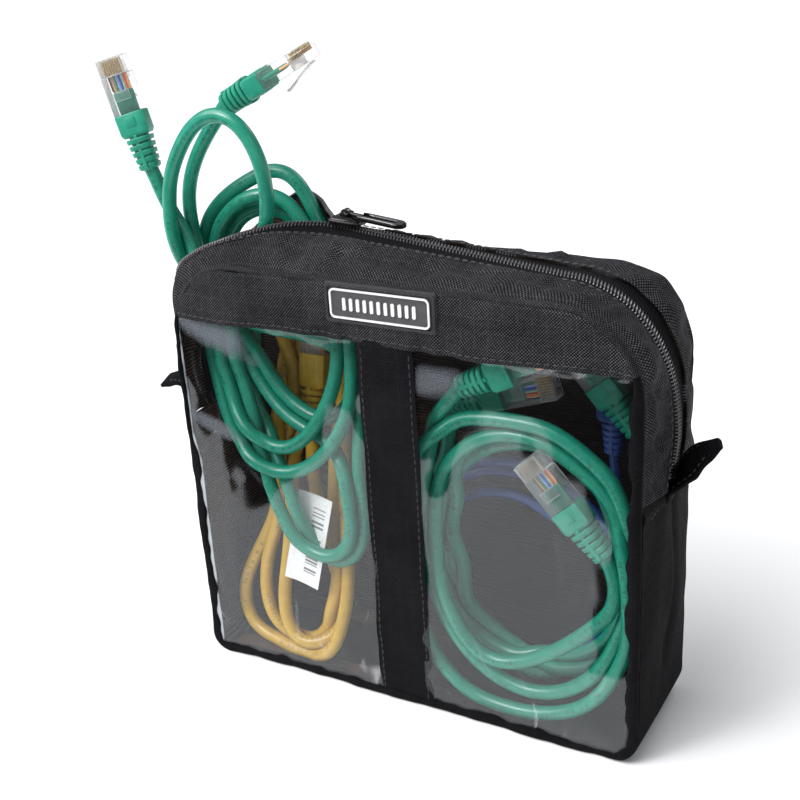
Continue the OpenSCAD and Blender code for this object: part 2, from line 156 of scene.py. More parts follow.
def catmull(points, n):
    p = np.asarray(points, float)
    q = np.concatenate([p[:1], p, p[-1:]])
    t = (np.arange(n) / n)[None, :, None]
    a, b, c, d = (q[i:len(p) - 1 + i, None] for i in range(4))
    s = 0.5 * (2 * b + (c - a) * t + (2 * a - 5 * b + 4 * c - d) * t ** 2 + (3 * b - a - 3 * c + d)
               * t ** 3)
    return np.concatenate([s.reshape(-1, p.shape[1]), p[-1:]])


def lengths(p):
    return np.concatenate([[0], np.cumsum(np.linalg.norm(np.diff(p, axis=0), axis=1))])


def resampled(p, n):
    """The same line with n points, evenly spaced."""
    s = lengths(p)
    t = np.linspace(0, s[-1], n)
    return np.stack([np.interp(t, s, p[:, i]) for i in range(p.shape[1])], -1)


def even(p, step):
    """The same line with points an even step apart."""
    return resampled(p, max(2, int(round(lengths(p)[-1] / step)) + 1))


def unit(v):
    return v / np.maximum(np.linalg.norm(v, axis=-1, keepdims=True), 1e-9)


def frames_along(p):
    """Two turning-free normals along a line."""
    t = unit(np.gradient(p, axis=0))
    n = np.zeros_like(p)
    side = np.cross(t[0], [0, 1, 0])
    n[0] = unit(side if np.linalg.norm(side) > 0.1 else np.cross(t[0], [1, 0, 0]))
    for i in range(1, len(p)):
        v = n[i - 1] - t[i] * np.dot(n[i - 1], t[i])
        n[i] = v / np.linalg.norm(v)
    return n, np.cross(t, n)


def tube_mesh(name, p, r, sides):
    """A tube of radius r along p."""
    m = len(p)
    n, b = frames_along(p)
    a = TAU * np.arange(sides) / sides
    rr = r * np.ones((m, sides))
    g = p[:, None] + rr[..., None] * (np.cos(a)[None, :, None] * n[:, None] + np.sin(a)[None, :, None]
                                      * b[:, None])
    verts = g.reshape(-1, 3)
    s = lengths(p)
    faces = grid_faces(m, sides, ring=True).tolist()
    u, v = np.meshgrid(s, np.arange(sides + 1) / sides * TAU * np.mean(r), indexing="ij")
    faces += [list(range(sides)), list(range((m - 1) * sides, m * sides))]
    return mesh_of(name, verts, faces, [grid_uvs(u, v), np.zeros((2 * sides, 2))])


def beads_mesh(name, centres, along, across, size):
    """Small rounded beads: size is their half length, half width and half height."""
    c, x = np.asarray(centres, float), unit(np.asarray(along, float))
    y = unit(np.asarray(across, float))
    z = unit(np.cross(x, y))
    y = np.cross(z, x)
    rings, around = 4, 6
    pts = [(-1, 0, 0)]
    for i in range(1, rings):
        f = math.pi * i / rings
        for k in range(around):
            a = TAU * k / around
            pts.append((-math.cos(f), math.sin(f) * math.cos(a), math.sin(f) * math.sin(a)))
    pts = np.array(pts + [(1, 0, 0)]) * size
    one = [[0, 1 + (k + 1) % around, 1 + k] for k in range(around)]
    for i in range(rings - 2):
        s = 1 + i * around
        one += [[s + k, s + (k + 1) % around, s + around + (k + 1) % around,
                 s + around + k] for k in range(around)]
    s, last = 1 + (rings - 2) * around, len(pts) - 1
    one += [[s + k, s + (k + 1) % around, last] for k in range(around)]
    v = c[:, None] + pts[None, :, 0:1] * x[:, None] + pts[None, :, 1:2] * y[:, None] + pts[None, :,
        2:3] * z[:, None]
    faces = [[i + j * len(pts) for i in f] for j in range(len(c)) for f in one]
    return mesh_of(name, v.reshape(-1, 3), faces)


class Solid:
    """Collects bevelled boxes, plates and lofts in one mesh, each set in place by self.at."""

    def __init__(self):
        self.bm = bmesh.new()
        self.at = Matrix.Identity(4)

    def _add(self, verts, faces, bevel, seg, mat):
        vs = [self.bm.verts.new(self.at @ Vector(v)) for v in verts]
        fs = [self.bm.faces.new([vs[i] for i in f]) for f in faces]
        bmesh.ops.recalc_face_normals(self.bm, faces=fs)
        for f in fs:
            f.material_index = mat
        if bevel:
            edges = list({e for f in fs for e in f.edges if len(e.link_faces) == 2
                          and e.calc_face_angle(0) > 0.6})
            bmesh.ops.bevel(self.bm, geom=edges, offset=bevel, segments=seg, affect="EDGES",
                            profile=0.5, clamp_overlap=True)

    def box(self, lo, hi, bevel=0.3, seg=2, mat=0):
        v = [(x, y, z) for x in (lo[0], hi[0]) for y in (lo[1], hi[1]) for z in (lo[2], hi[2])]
        f = [(0, 1, 3, 2), (4, 6, 7, 5), (0, 4, 5, 1), (2, 3, 7, 6), (0, 2, 6, 4), (1, 5, 7, 3)]
        self._add(v, f, bevel, seg, mat)

    def plate(self, outline, z0, z1, bevel=0.3, seg=2, mat=0):
        n = len(outline)
        v = [(x, y, z) for z in (z0, z1) for x, y in outline]
        f = [tuple(range(n)), tuple(range(n, 2 * n))] + [(i, (i + 1) % n, n + (i + 1) % n,
                                                          n + i) for i in range(n)]
        self._add(v, f, bevel, seg, mat)

    def loft(self, stations, sides=20, square=3.0, mat=0):
        """Rounded sections along X. A station is (x, half width, half height, y, z)."""
        v = []
        for st in stations:
            x, hy, hz, cy, cz = (tuple(st) + (0, 0))[:5]
            for k in range(sides):
                a = TAU * (k + 0.5) / sides
                c, s = math.cos(a), math.sin(a)
                q = (abs(c) ** square + abs(s) ** square) ** (-1 / square)
                v.append((x, cy + hy * c * q, cz + hz * s * q))
        f = [tuple(range(sides)), tuple(range((len(stations) - 1) * sides, len(stations) * sides))]
        for i in range(len(stations) - 1):
            f += [(i * sides + k, i * sides + (k + 1) % sides, (i + 1) * sides + (k + 1) % sides,
                   (i + 1) * sides + k) for k in range(sides)]
        self._add(v, f, 0, 1, mat)

    def done(self, name, mats, sharp=35):
        me = bpy.data.meshes.new(name)
        self.bm.to_mesh(me)
        self.bm.free()
        return link(name, me, mats, sharp=sharp)


# ---- materials ---------------------------------------------------------------------
class Look:
    """A node material under construction, with short ways to add nodes."""

    def __init__(self, name, colour, rough=0.5, **sockets):
        self.mat = bpy.data.materials.new(name)
        self.mat.use_nodes = True
        self.tree = self.mat.node_tree
        self.bsdf = self.tree.nodes["Principled BSDF"]
        self.bsdf.inputs["Base Color"].default_value = (*colour, 1)
        self.bsdf.inputs["Roughness"].default_value = rough
        for k, v in sockets.items():
            self.bsdf.inputs[k.replace("_", " ")].default_value = v

    def node(self, kind, ins=None, **attrs):
        n = self.tree.nodes.new("ShaderNode" + kind)
        for k, v in attrs.items():
            setattr(n, k, v)
        for k, v in (ins or {}).items():
            self.set(n.inputs[k], v)
        return n

    def set(self, socket, v):
        if isinstance(v, bpy.types.NodeSocket):
            self.tree.links.new(v, socket)
        else:
            socket.default_value = v

    def math(self, op, a, b=None, c=None):
        ins = {i: v for i, v in enumerate((a, b, c)) if v is not None}
        return self.node("Math", ins, operation=op).outputs[0]

    def mul(self, a, b):
        return self.math("MULTIPLY", a, b)

    def add(self, a, b):
        return self.math("ADD", a, b)

    def uv(self):
        """Position on the cloth in millimetres, as two sockets."""
        coords = self.node("UVMap").outputs[0]
        scaled = self.node("VectorMath", {0: coords, 3: 1000.0}, operation="SCALE").outputs[0]
        xyz = self.node("SeparateXYZ", {0: scaled})
        return scaled, xyz.outputs[0], xyz.outputs[1]

    def place(self):
        """Position in the frame in millimetres."""
        coords = self.node("TexCoord").outputs["Object"]
        scaled = self.node("VectorMath", {0: coords, 3: 1000.0}, operation="SCALE").outputs[0]
        xyz = self.node("SeparateXYZ", {0: scaled})
        return (scaled, *xyz.outputs[:3])

    def noise(self, at, scale, detail=2.0, rough=0.5):
        return self.node("TexNoise", {"Vector": at, "Scale": scale, "Detail": detail,
                                      "Roughness": rough}).outputs[0]

    def span(self, x, a, b, lo, hi):
        return self.node("MapRange", {0: x, 1: a, 2: b, 3: lo, 4: hi}).outputs[0]

    def mix(self, f, a, b):
        n = self.node("Mix", {0: f}, data_type="RGBA")
        self.set(n.inputs[6], a if isinstance(a, bpy.types.NodeSocket) else (*a, 1))
        self.set(n.inputs[7], b if isinstance(b, bpy.types.NodeSocket) else (*b, 1))
        return n.outputs[2]

    def bump(self, height, distance, strength=1.0):
        n = self.node("Bump", {"Height": height, "Distance": distance, "Strength": strength})
        last = self.bsdf.inputs["Normal"].links
        if last:
            self.set(n.inputs["Normal"], last[0].from_socket)
        self.set(self.bsdf.inputs["Normal"], n.outputs[0])

    def use(self, socket, value):
        self.set(self.bsdf.inputs[socket], value)


def woven(name, dark, light, pitch=1.15, grid=5.2, rough=0.7, spec=0.15):
    """Nylon cloth: over-and-under threads with bright flecks, and a raised thread every grid mm."""
    k = Look(name, dark, rough, Specular_IOR_Level=spec)
    at, u, v = k.uv()
    a = k.math("SINE", k.mul(u, TAU / pitch))
    b = k.math("SINE", k.mul(v, TAU / pitch))
    weave = k.math("MULTIPLY_ADD", k.mul(a, b), 0.5, 0.5)
    speck = k.span(k.noise(at, 0.8, 1.0, 0.5), 0.35, 0.65, 0.55, 1.0)
    tone = k.mul(k.math("POWER", weave, 3.0), speck)
    lines = [k.math("LESS_THAN", k.math("PINGPONG", w, grid / 2), 0.2) for w in (u, v)]
    line = k.math("MAXIMUM", *lines)
    tone = k.add(tone, k.mul(k.mul(line, weave), 0.16))
    worn = k.span(k.noise(at, 0.03, 4.0, 0.6), 0.35, 0.65, 0.65, 1.3)
    k.use("Base Color", k.mix(k.mul(tone, worn), dark, light))
    k.use("Roughness", k.span(tone, 0, 1, rough + 0.1, rough - 0.25))
    k.bump(k.noise(at, 0.05, 2.5, 0.5), 0.0030, 0.7)
    k.bump(k.add(weave, k.mul(line, 0.3)), 0.00022, 0.9)
    return k.mat


def ribbed(name, dark, light, pitch=1.1, upright_shaded=False, rough=0.7):
    """Grosgrain or knitted tape: fine cross ribs, along u, or up the frame, where painted shade also
    darkens it towards +x.
    """
    k = Look(name, dark, rough, Specular_IOR_Level=0.1)
    if upright_shaded:
        at, x, v, u = k.place()
    else:
        at, u, v = k.uv()
    rib = k.math("MULTIPLY_ADD", k.math("SINE", k.mul(u, TAU / pitch)), 0.5, 0.5)
    thread = k.math("MULTIPLY_ADD", k.math("SINE", k.mul(v, TAU / 0.6)), 0.25, 0.75)
    tone = k.mul(k.mul(rib, thread), k.span(k.noise(at, 0.9, 2.0), 0.3, 0.7, 0.5, 1.1))
    if upright_shaded:   # painted shade: the lining darkens from x = -40 to x = 20, away from the open mouth at the left
        tone = k.mul(tone, k.span(x, -40, 20, 1.0, 0.10))
    k.use("Base Color", k.mix(tone, dark, light))
    k.use("Roughness", k.span(tone, 0, 1, rough + 0.1, rough - 0.1))
    k.bump(rib, 0.0002, 0.9)
    return k.mat


def moulded(name, colour, rough=0.4, grain=0.00004, vary=0.12, marks=False, **sockets):
    """Plastic, rubber or cable jacket, with slight unevenness in tone and polish."""
    k = Look(name, colour, rough, **sockets)
    at = k.uv()[0] if marks else k.place()[0]
    n = k.noise(at, 0.25, 4.0, 0.6)
    fine = k.noise(at, 2.5, 2.0)
    dark = tuple(c * (1 - vary) for c in colour)
    pale = tuple(min(1, c * (1 + vary) + 0.01) for c in colour)
    base = k.mix(k.span(n, 0.3, 0.7, 0, 1), dark, pale)
    if marks:   # faint inked dashes along the jacket
        at, u, v = k.uv()
        row = k.math("LESS_THAN", k.math("ABSOLUTE", k.math("SUBTRACT", v, marks)), 0.75)
        dash = k.math("GREATER_THAN", k.noise(k.node("CombineXYZ",
                                                     {0: k.math("FLOOR", k.mul(u, 1.4))}).outputs[0], 7.7,
                                                     0.0), 0.5)
        group = k.math("GREATER_THAN", k.math("SINE", k.mul(u, TAU / 62)), -0.25)
        ink = k.mul(k.mul(row, dash), k.mul(group, 0.38))
        base = k.mix(ink, base, tuple(c * 0.12 for c in colour))
    k.use("Base Color", base)
    k.use("Roughness", k.span(fine, 0.3, 0.7, rough - 0.06, rough + 0.08))
    k.bump(fine, grain, 0.6)
    return k.mat


def clear(name, tint, cloud, edge, rough, body=(0.8, 0.82, 0.83)):
    """Clear plastic: see-through face on, with gloss and some body towards its edges."""
    k = Look(name, body, rough, Specular_IOR_Level=0.6)
    at = k.place()[0]
    through = k.node("BsdfTransparent", {0: (*tint, 1)}).outputs[0]
    facing = k.node("LayerWeight", {0: edge}).outputs[0]
    share = k.add(k.mul(facing, 0.85), k.span(k.noise(at, 0.08, 3.0), 0.3, 0.7, cloud * 0.6, cloud * 1.4))
    out = k.node("MixShader", {0: k.math("MINIMUM", share, 1.0), 1: through,
                               2: k.bsdf.outputs[0]}).outputs[0]
    k.bump(k.noise(at, 0.5, 2.0), 0.00005, 0.5)
    k.set(k.tree.nodes["Material Output"].inputs[0], out)
    return k.mat


def glossy_film(name):
    """Soft clear vinyl: a mirror-like skin on a nearly clear sheet, with painted reflections: whitish
    streaks low down, a pale strip along one edge and soft grey patches.
    """
    k = Look(name, (0.9, 0.93, 0.96), 0.06, Metallic=1.0)
    at, u, v = k.uv()
    k.bump(k.noise(at, 0.03, 2.0, 0.5), 0.0004, 0.15)
    facing = k.node("LayerWeight", {0: 0.5}).outputs[1]
    skin = k.math("MULTIPLY_ADD", k.math("POWER", facing, 5.0), 0.9, 0.045)
    through = k.node("BsdfTransparent", {0: (0.97, 0.975, 0.98, 1)}).outputs[0]
    sheet = k.node("MixShader", {0: skin, 1: through, 2: k.bsdf.outputs[0]}).outputs[0]
    # painted reflection: a pale diffuse colour laid over the film where it stands in for mirrored bright
    # surroundings
    painted_reflection_white = k.node("BsdfDiffuse", {0: (0.75, 0.78, 0.82, 1)}).outputs[0]
    bent = k.node("VectorMath", {0: at, 1: k.node("CombineXYZ",
                                                  {0: k.span(k.noise(at, 0.02, 1.0), 0, 1, -30,
                                                      30)}).outputs[0]},
                  operation="ADD").outputs[0]
    long = k.node("VectorMath", {0: bent, 1: (1.0, 0.12, 1.0)}, operation="MULTIPLY").outputs[0]
    # painted reflection: whitish streaks, strongest low on the sheet, and a pale strip along the left
    # window's outer edge
    reflection_streak_mask = k.span(k.noise(long, 0.16, 3.0, 0.7), 0.60, 0.74, 0.0, 1.0)
    low = k.span(v, 12, 46, 0.30, 0.02)
    edge = k.add(u, k.span(v, 90, 102, 0.0, 2.6))
    rim = k.span(edge, -89.4, -89.9, 0.0, 0.4)
    painted_reflection_streaks = k.math("MAXIMUM", k.mul(reflection_streak_mask, low), rim)
    reflection_patches = []
    # painted reflection patches: place, half width, half height, slope and strength
    for x, z, wide, high, slope, strength in ((-77, 147, 18, 7.5, 0.35, 0.5),
                                              (-80, 107, 14, 3.5, 0.3, 0.38),
                                              (19, 140, 10, 6, -0.1, 0.3)):
        a = k.math("DIVIDE", k.math("SUBTRACT", u, x), wide)
        b = k.math("DIVIDE", k.math("SUBTRACT", k.math("MULTIPLY_ADD", k.math("SUBTRACT", u, x), slope, v),
                                    z), high)
        d = k.math("SQRT", k.add(k.mul(a, a), k.mul(b, b)))
        d = k.add(d, k.span(k.noise(at, 0.09, 1.0), 0.3, 0.7, -0.2, 0.2))
        reflection_patches.append(k.span(d, 0.45, 1.2, strength, 0.0))
    painted_reflection_mask = k.math("MAXIMUM", k.math("MAXIMUM", reflection_patches[0], reflection_patches[1]), reflection_patches[2])
    # painted reflection: soft grey diffuse patches in place of glints on the film
    painted_reflection_grey = k.node("BsdfDiffuse", {0: (0.17, 0.185, 0.21, 1)}).outputs[0]
    sheet = k.node("MixShader", {0: painted_reflection_mask, 1: sheet, 2: painted_reflection_grey}).outputs[0]
    out = k.node("MixShader", {0: painted_reflection_streaks, 1: sheet, 2: painted_reflection_white}).outputs[0]
    k.set(k.tree.nodes["Material Output"].inputs[0], out)
    return k.mat


def metal(name, colour, rough, metallic=1.0):
    k = Look(name, colour, rough, Metallic=metallic, Coat_Weight=0.4, Coat_Roughness=0.12)
    at = k.place()[0]
    n = k.noise(at, 1.2, 4.0, 0.65)
    k.use("Base Color", k.mix(k.span(n, 0.35, 0.7, 0, 1), tuple(c * 0.8 for c in colour),
                              tuple(min(1, c * 1.25 + 0.004) for c in colour)))
    k.use("Roughness", k.span(n, 0.3, 0.7, rough * 0.8, rough * 1.5))
    k.bump(n, 0.00003, 0.5)
    return k.mat


def label_paper(name):
    """White label with generic grey bars."""
    k = Look(name, (0.8, 0.8, 0.78), 0.5)
    at, u, v = k.uv()
    cell = k.node("CombineXYZ", {0: k.math("FLOOR", k.mul(v, 2.2))}).outputs[0]
    bars = k.math("GREATER_THAN", k.noise(cell, 9.3, 0.0), 0.52)
    zone = k.mul(k.math("GREATER_THAN", u, 8.0), k.math("LESS_THAN", u, 14.5))
    zone = k.mul(zone, k.mul(k.math("GREATER_THAN", v, 4.0), k.math("LESS_THAN", v, 33.0)))
    ink = k.mul(bars, zone)
    paper = k.mix(k.span(k.noise(at, 0.6, 3.0), 0.3, 0.7, 0, 1), (0.74, 0.74, 0.73), (0.84, 0.84, 0.82))
    k.use("Base Color", k.mix(k.mul(ink, 0.85), paper, (0.05, 0.05, 0.06)))
    k.bump(k.noise(at, 3.0, 2.0), 0.00003, 0.4)
    return k.mat


CLOTH = woven("ripstop_cloth", (0.0014, 0.0014, 0.0018), (0.13, 0.13, 0.145), spec=0.10)
STRAP = woven("strap_cloth", (0.0012, 0.0012, 0.0016), (0.042, 0.042, 0.048), spec=0.04)
# painted shade: a darker copy of the ripstop for the lower gusset and tabs, which face away from the light
SIDE_SHADED = woven("side_cloth_painted_shade", (0.0016, 0.0016, 0.002), (0.024, 0.024, 0.028), spec=0.05)
EDGE = woven("edge_cloth", (0.0014, 0.0014, 0.0018), (0.020, 0.020, 0.023), 0.8, 9.0, spec=0.06)
TAPE = ribbed("zip_tape", (0.002, 0.002, 0.0025), (0.014, 0.014, 0.016), 0.8)
INNER_SHADED = ribbed("inner_lining_painted_shade", (0.007, 0.0045, 0.0035), (0.13, 0.075, 0.052), 1.3, upright_shaded=True)
THREAD = moulded("thread", (0.02, 0.02, 0.023), 0.6)
COIL = moulded("zip_coil", (0.11, 0.11, 0.115), 0.22, Specular_IOR_Level=0.9)
FILM = glossy_film("clear_film")
GREEN = moulded("green_jacket", (0.002, 0.225, 0.143), 0.28, marks=4.0, Specular_IOR_Level=0.6)
YELLOW = moulded("yellow_jacket", (0.52, 0.31, 0.018), 0.32, marks=4.0, Specular_IOR_Level=0.6)
BLUE = moulded("blue_jacket", (0.010, 0.050, 0.20), 0.32, marks=3.0)
GREEN_BOOT = moulded("green_boot", (0.003, 0.26, 0.165), 0.4)
YELLOW_BOOT = moulded("yellow_boot", (0.54, 0.33, 0.02), 0.42)
BLUE_BOOT = moulded("blue_boot", (0.015, 0.06, 0.26), 0.42)
PLUG = clear("plug_plastic", (0.985, 0.987, 0.987), 0.04, 0.27, 0.08, (0.93, 0.94, 0.95))
LATCH = clear("latch_plastic", (0.97, 0.975, 0.98), 0.22, 0.4, 0.10, (0.93, 0.94, 0.95))
GOLD = metal("contact_gold", (0.83, 0.55, 0.20), 0.28)
CORES = [moulded(f"core_{i}", c, 0.45) for i, c in enumerate([
    (0.80, 0.42, 0.20), (0.80, 0.10, 0.005), (0.35, 0.62, 0.36), (0.01, 0.06, 0.50),
    (0.30, 0.42, 0.80), (0.003, 0.25, 0.05), (0.55, 0.34, 0.20), (0.14, 0.04, 0.01)])]
RUBBER = moulded("badge_rubber", (0.020, 0.020, 0.022), 0.5)
RELIEF = moulded("badge_relief", (0.70, 0.70, 0.70), 0.5, vary=0.05)
ENAMEL = metal("slider_enamel", (0.012, 0.012, 0.013), 0.22, 0.6)
PULL = metal("puller_enamel", (0.014, 0.014, 0.015), 0.18, 0.7)
PAPER = label_paper("label_paper")


# ---- where things are (mm, repeated from the CAD source) -----------------------------
HW, HD, TOP, TOP_R, LOW_R = 95.0, 27.0, 174.0, 30.0, 10.0
BAND_Z, STRIP, SEAM_Z = 151.0, 11.5, 105.0
EDGE_Y = HD - 3.2
SLIDER_AT, SLOPE = np.array([-28.4, 0, 184.73]), 6.6
PIN = Matrix.Translation((-1, 0, 4.9))               # the puller's hinge, from the slider's middle
QUARTER_TURN = Matrix.Rotation(math.pi / 2, 4, "Z")


def corner(a, side=1):
    return [side * (HW - TOP_R + TOP_R * math.sin(math.radians(a))),
            TOP - TOP_R + TOP_R * math.cos(math.radians(a))]


def on_line(x, y):
    return [x, y, SLIDER_AT[2] - (x - SLIDER_AT[0]) * math.tan(math.radians(SLOPE))]


EDGE_LINE = [[HW, SEAM_Z], [HW, 125], [HW, TOP - TOP_R], corner(67.5), corner(45), corner(22.5),
             [HW - TOP_R, TOP],
             [52, TOP], [16, TOP], [-14, TOP], [-30, TOP], [-44, TOP], [-56, TOP], [TOP_R - HW, TOP],
             corner(22.5, -1), corner(45, -1), corner(67.5, -1), [-HW, TOP - TOP_R], [-HW, 125],
             [-HW, SEAM_Z]]
CLOSED = [[96, 105], [98, 122], [96.5, 139], [93, 150], [87, 160], [78, 168.5]]
ZIP = {
    "front": [[x, -1.5, z] for x, z in CLOSED] + [on_line(x, -1.5) for x in (66, 52, 16, -14)]
    + [on_line(-32, -1.6)] + [
        [-41, -5, 186.2], [-50, -10.5, 186.5], [-62, -15.5, 184], [-74, -17.5, 180], [-87, -18, 174.5],
        [-98, -16, 166], [-100.7, -12, 151.5], [-99.8, -2.8, 136], [-97, -1.5, 105]],
    "back": [[x, 1.5, z] for x, z in CLOSED] + [on_line(x, 1.5) for x in (66, 52, 16, -14)]
    + [on_line(-32, 1.6)] + [
        [-41, 7, 187.7], [-50, 15, 190], [-62, 21.5, 190.5], [-74, 24, 184.5], [-86, 24, 175],
        [-96.5, 16, 164], [-100.5, 7, 150], [-99.8, 2, 136], [-97, 1.5, 105]]}
PLUGS = {   # name: (its cable end, its turns about X, Y and Z in degrees)
    "p1": ((-112, -8, 203.5), (112, -107, 0)), "p2": ((-78, 0, 228), (10, -27, 0)),
    "y1": ((-55, 5, 101), (0, -78, 90)), "y2": ((-62, 16, 158), (90, 0, 0)),
    "p3": ((80, -20, 81), (90, -132, 0)), "p4": ((25, -18, 136), (90, -26, 0)),
    "p5": ((14, -4, 123), (90, -18, 0)), "p6": ((82, 6, 118), (-90, -130, 0)),
    "p7": ((84, 15, 96), (90, -90, 0)), "p8": ((70, 15, 104), (90, -90, 0))}
BOOT_L, RIB_L, PLUG_L = 22.0, 13.0, 21.5


def aim(plug):
    where, (a, b, c) = PLUGS[plug]
    turn = Matrix.Rotation(math.radians(c), 4, "Z") @ Matrix.Rotation(math.radians(b), 4,
        "Y") @ Matrix.Rotation(math.radians(a), 4, "X")
    return Matrix.Translation(where) @ turn


def outline(x_inset=0.0, n=10):
    """Closed line round the front, counter-clockwise from the right side, inset from the edge."""
    pts = []
    for sx, top, first in ((1, True, 0), (-1, True, 90), (-1, False, 180), (1, False, 270)):
        r = TOP_R if top else LOW_R
        for i in range(n + 1):
            a = math.radians(first + 90 * i / n)
            pts.append([sx * (HW - r) + (r - x_inset) * math.cos(a),
                        (TOP - r if top else r) + (r - x_inset) * math.sin(a)])
    return np.array(pts)


def gusset_grid(side, t0, t1, rows, n=8, bulge=2.2):
    """Rows of points over an upper gusset, from its sewn edge (0) to the zip (1)."""
    y = -EDGE_Y if side == "front" else EDGE_Y
    e = catmull([[x, y, z] for x, z in EDGE_LINE], n)
    z = catmull(ZIP[side], n)
    out = unit(np.stack([e[:, 0], 0 * e[:, 0], e[:, 2] - 90], -1))
    t = np.linspace(t0, t1, rows)[None, :, None]
    g = e[:, None] * (1 - t) + z[:, None] * t + out[:, None] * bulge * np.sin(math.pi * t)
    return g, out, np.broadcast_to(lengths(e)[:, None], g.shape[:2]), t[..., 0] * np.linalg.norm(z - e,
        axis=1)[:, None]


# ---- leads -------------------------------------------------------------------------
def turns(cx, cz, r, h, y, first, last, step=22.5, sway=0.0):
    a = np.radians(np.arange(first, last, step if last > first else -step))
    rr = r * (1 + sway * np.sin(1.7 * a))
    return [[cx + q * math.cos(w), y, cz + q * math.sin(w) + h * math.tanh(2.2 * math.sin(w))] for q,
            w in zip(rr, a)]


ROUTE_A = [
    [-112, -8, 203.5], [-108, -8, 194], [-104, -8, 183], [-99, -7, 172], [-95, -7, 160], [-91, -9, 145],
    [-84, -11, 130], [-81, -13, 119], [-76, -16, 110], [-70, -17, 103], [-62, -18, 99], [-55, -19, 97],
    [-49, -18, 100], [-42, -17, 106], [-37, -15, 114], [-34, -12, 122], [-32, -10, 132], [-32, -6, 145],
    [-36, 0, 158], [-42, 6, 171], [-47, 10, 182], [-51, 10, 190], [-58, 10, 199], [-66, 10, 202],
    [-77, 7, 197], [-86, 6, 192], [-93, 6, 186], [-99, 6, 179], [-101, 4, 168], [-98, -2, 150],
    [-92, -9, 131], [-85, -14, 115], [-82, -16, 107], [-77, -18, 100], [-70, -19, 94], [-63, -21, 90],
    [-55, -21, 88], [-47, -20, 90], [-39, -19, 95], [-33, -18, 101], [-29, -16, 108], [-25, -13, 119],
    [-25, -10, 131], [-29, -6, 145], [-36, 0, 160], [-45, 4, 174], [-54, 6, 185], [-62, 6, 192],
    [-71, 3, 193], [-80, 3, 189], [-89, 3, 181], [-94, 3, 170], [-91, 0, 156], [-85, 0, 147],
    [-80, -1, 137],
    [-78, -4, 124], [-75, -7, 112], [-68, -12, 100], [-60, -16, 90], [-54, -18, 81], [-51, -19, 72],
    [-48, -20, 62], [-42, -20.5, 54], [-34, -19.5, 51.5], [-26, -18, 55], [-21.5, -17, 63], [-21, -16, 74],
    [-22, -16, 86], [-23, -13, 98], [-24, -9, 114], [-28, -5, 133],
    [-36, 2, 149], [-46, 9, 165], [-56, 13, 177], [-66, 12, 185], [-75, 9, 186], [-84, 8, 181],
    [-91, 8, 171],
    [-91, 5, 158], [-85, 1, 145], [-77, -3, 134], [-68, -6, 124], [-58, -8, 115], [-48, -9, 110],
    [-38, -9, 109], [-31, -7, 114], [-28, -4, 123], [-33, -1, 133], [-44, 0, 138], [-58, -1, 140],
    [-72, -3, 142], [-85, -5, 147], [-97, -7, 160], [-101, -8, 173], [-103, -10, 186], [-100, -12, 200],
    [-93, -13, 212], [-84, -14, 222], [-73, -14, 227], [-63, -14, 223], [-57, -13, 212], [-56, -11, 199],
    [-59, -9, 186], [-66, -7, 173], [-75, -5, 162], [-81, -4, 150], [-82, -6, 136], [-78, -10, 121],
    [-73, -13, 111], [-69, -16, 101], [-65, -19, 90], [-60, -20, 76], [-53, -21, 64], [-43, -22, 56],
    [-32, -22, 55], [-25, -21, 64], [-24, -20, 77], [-27, -18, 90], [-35, -14, 100], [-47, -11, 104],
    [-58, -10, 109], [-69, -7, 118], [-80, -4, 130], [-90, -3, 145], [-95, -3, 157], [-99, -2, 168],
    [-102, 0, 181], [-101, 0, 194], [-96, 0, 206], [-88, 0, 217], [-78, 0, 228]]
ROUTE_Y = [
    [-62, 16, 158], [-70, 15, 150], [-72, 13, 138], [-68, 11, 124], [-65, 8, 112], [-66, 4, 98],
    [-68, -1, 84],
    [-70, -4, 70], [-71, -5, 60], [-76, -8, 48], [-82, -11, 36], [-86, -13, 24], [-84, -15, 13],
    [-77, -17, 7],
    [-67, -18, 6], [-57, -19, 6], [-48, -20, 7], [-39, -21, 12], [-34, -19, 21], [-32, -17, 31],
    [-32, -14, 41],
    [-33, -11, 55], [-35, -7, 70], [-38, -1, 85], [-41, 5, 100], [-42, 9, 113], [-43, 13, 126],
    [-44.5, 16, 136], [-51, 18, 144], [-59, 18, 144],
    [-66, 16, 138], [-69.5, 14, 127], [-69, 8, 114], [-68, 3, 101], [-67, -2, 88], [-67, -5, 74],
    [-68, -7, 61], [-72, -10, 47],
    [-74, -12, 36], [-73, -15, 26], [-69, -17, 16], [-62, -18, 10], [-53, -19, 8], [-45, -18, 11],
    [-40, -16, 18], [-38, -14, 28], [-38, -12, 40], [-40, -9, 54], [-42, -5, 68], [-43, 0, 84],
    [-44, 6, 98],
    [-43, 10, 111], [-42.5, 13, 121], [-45, 15.5, 130], [-51.5, 17, 136], [-59, 17, 136],
    [-65.5, 15.5, 130], [-68, 13, 121], [-68, 9, 111], [-66, 4, 98], [-64, -2, 83], [-61, -8, 66],
    [-61, -12, 50],
    [-62, -15, 37], [-62, -18, 26], [-59, -20, 15.5], [-51.5, -21, 9], [-43, -20, 10], [-37.5, -17, 17.5],
    [-38, -13, 30], [-43, -8, 49], [-51, -3, 69], [-55, 1, 82], [-55, 3, 92], [-55, 5, 101]]
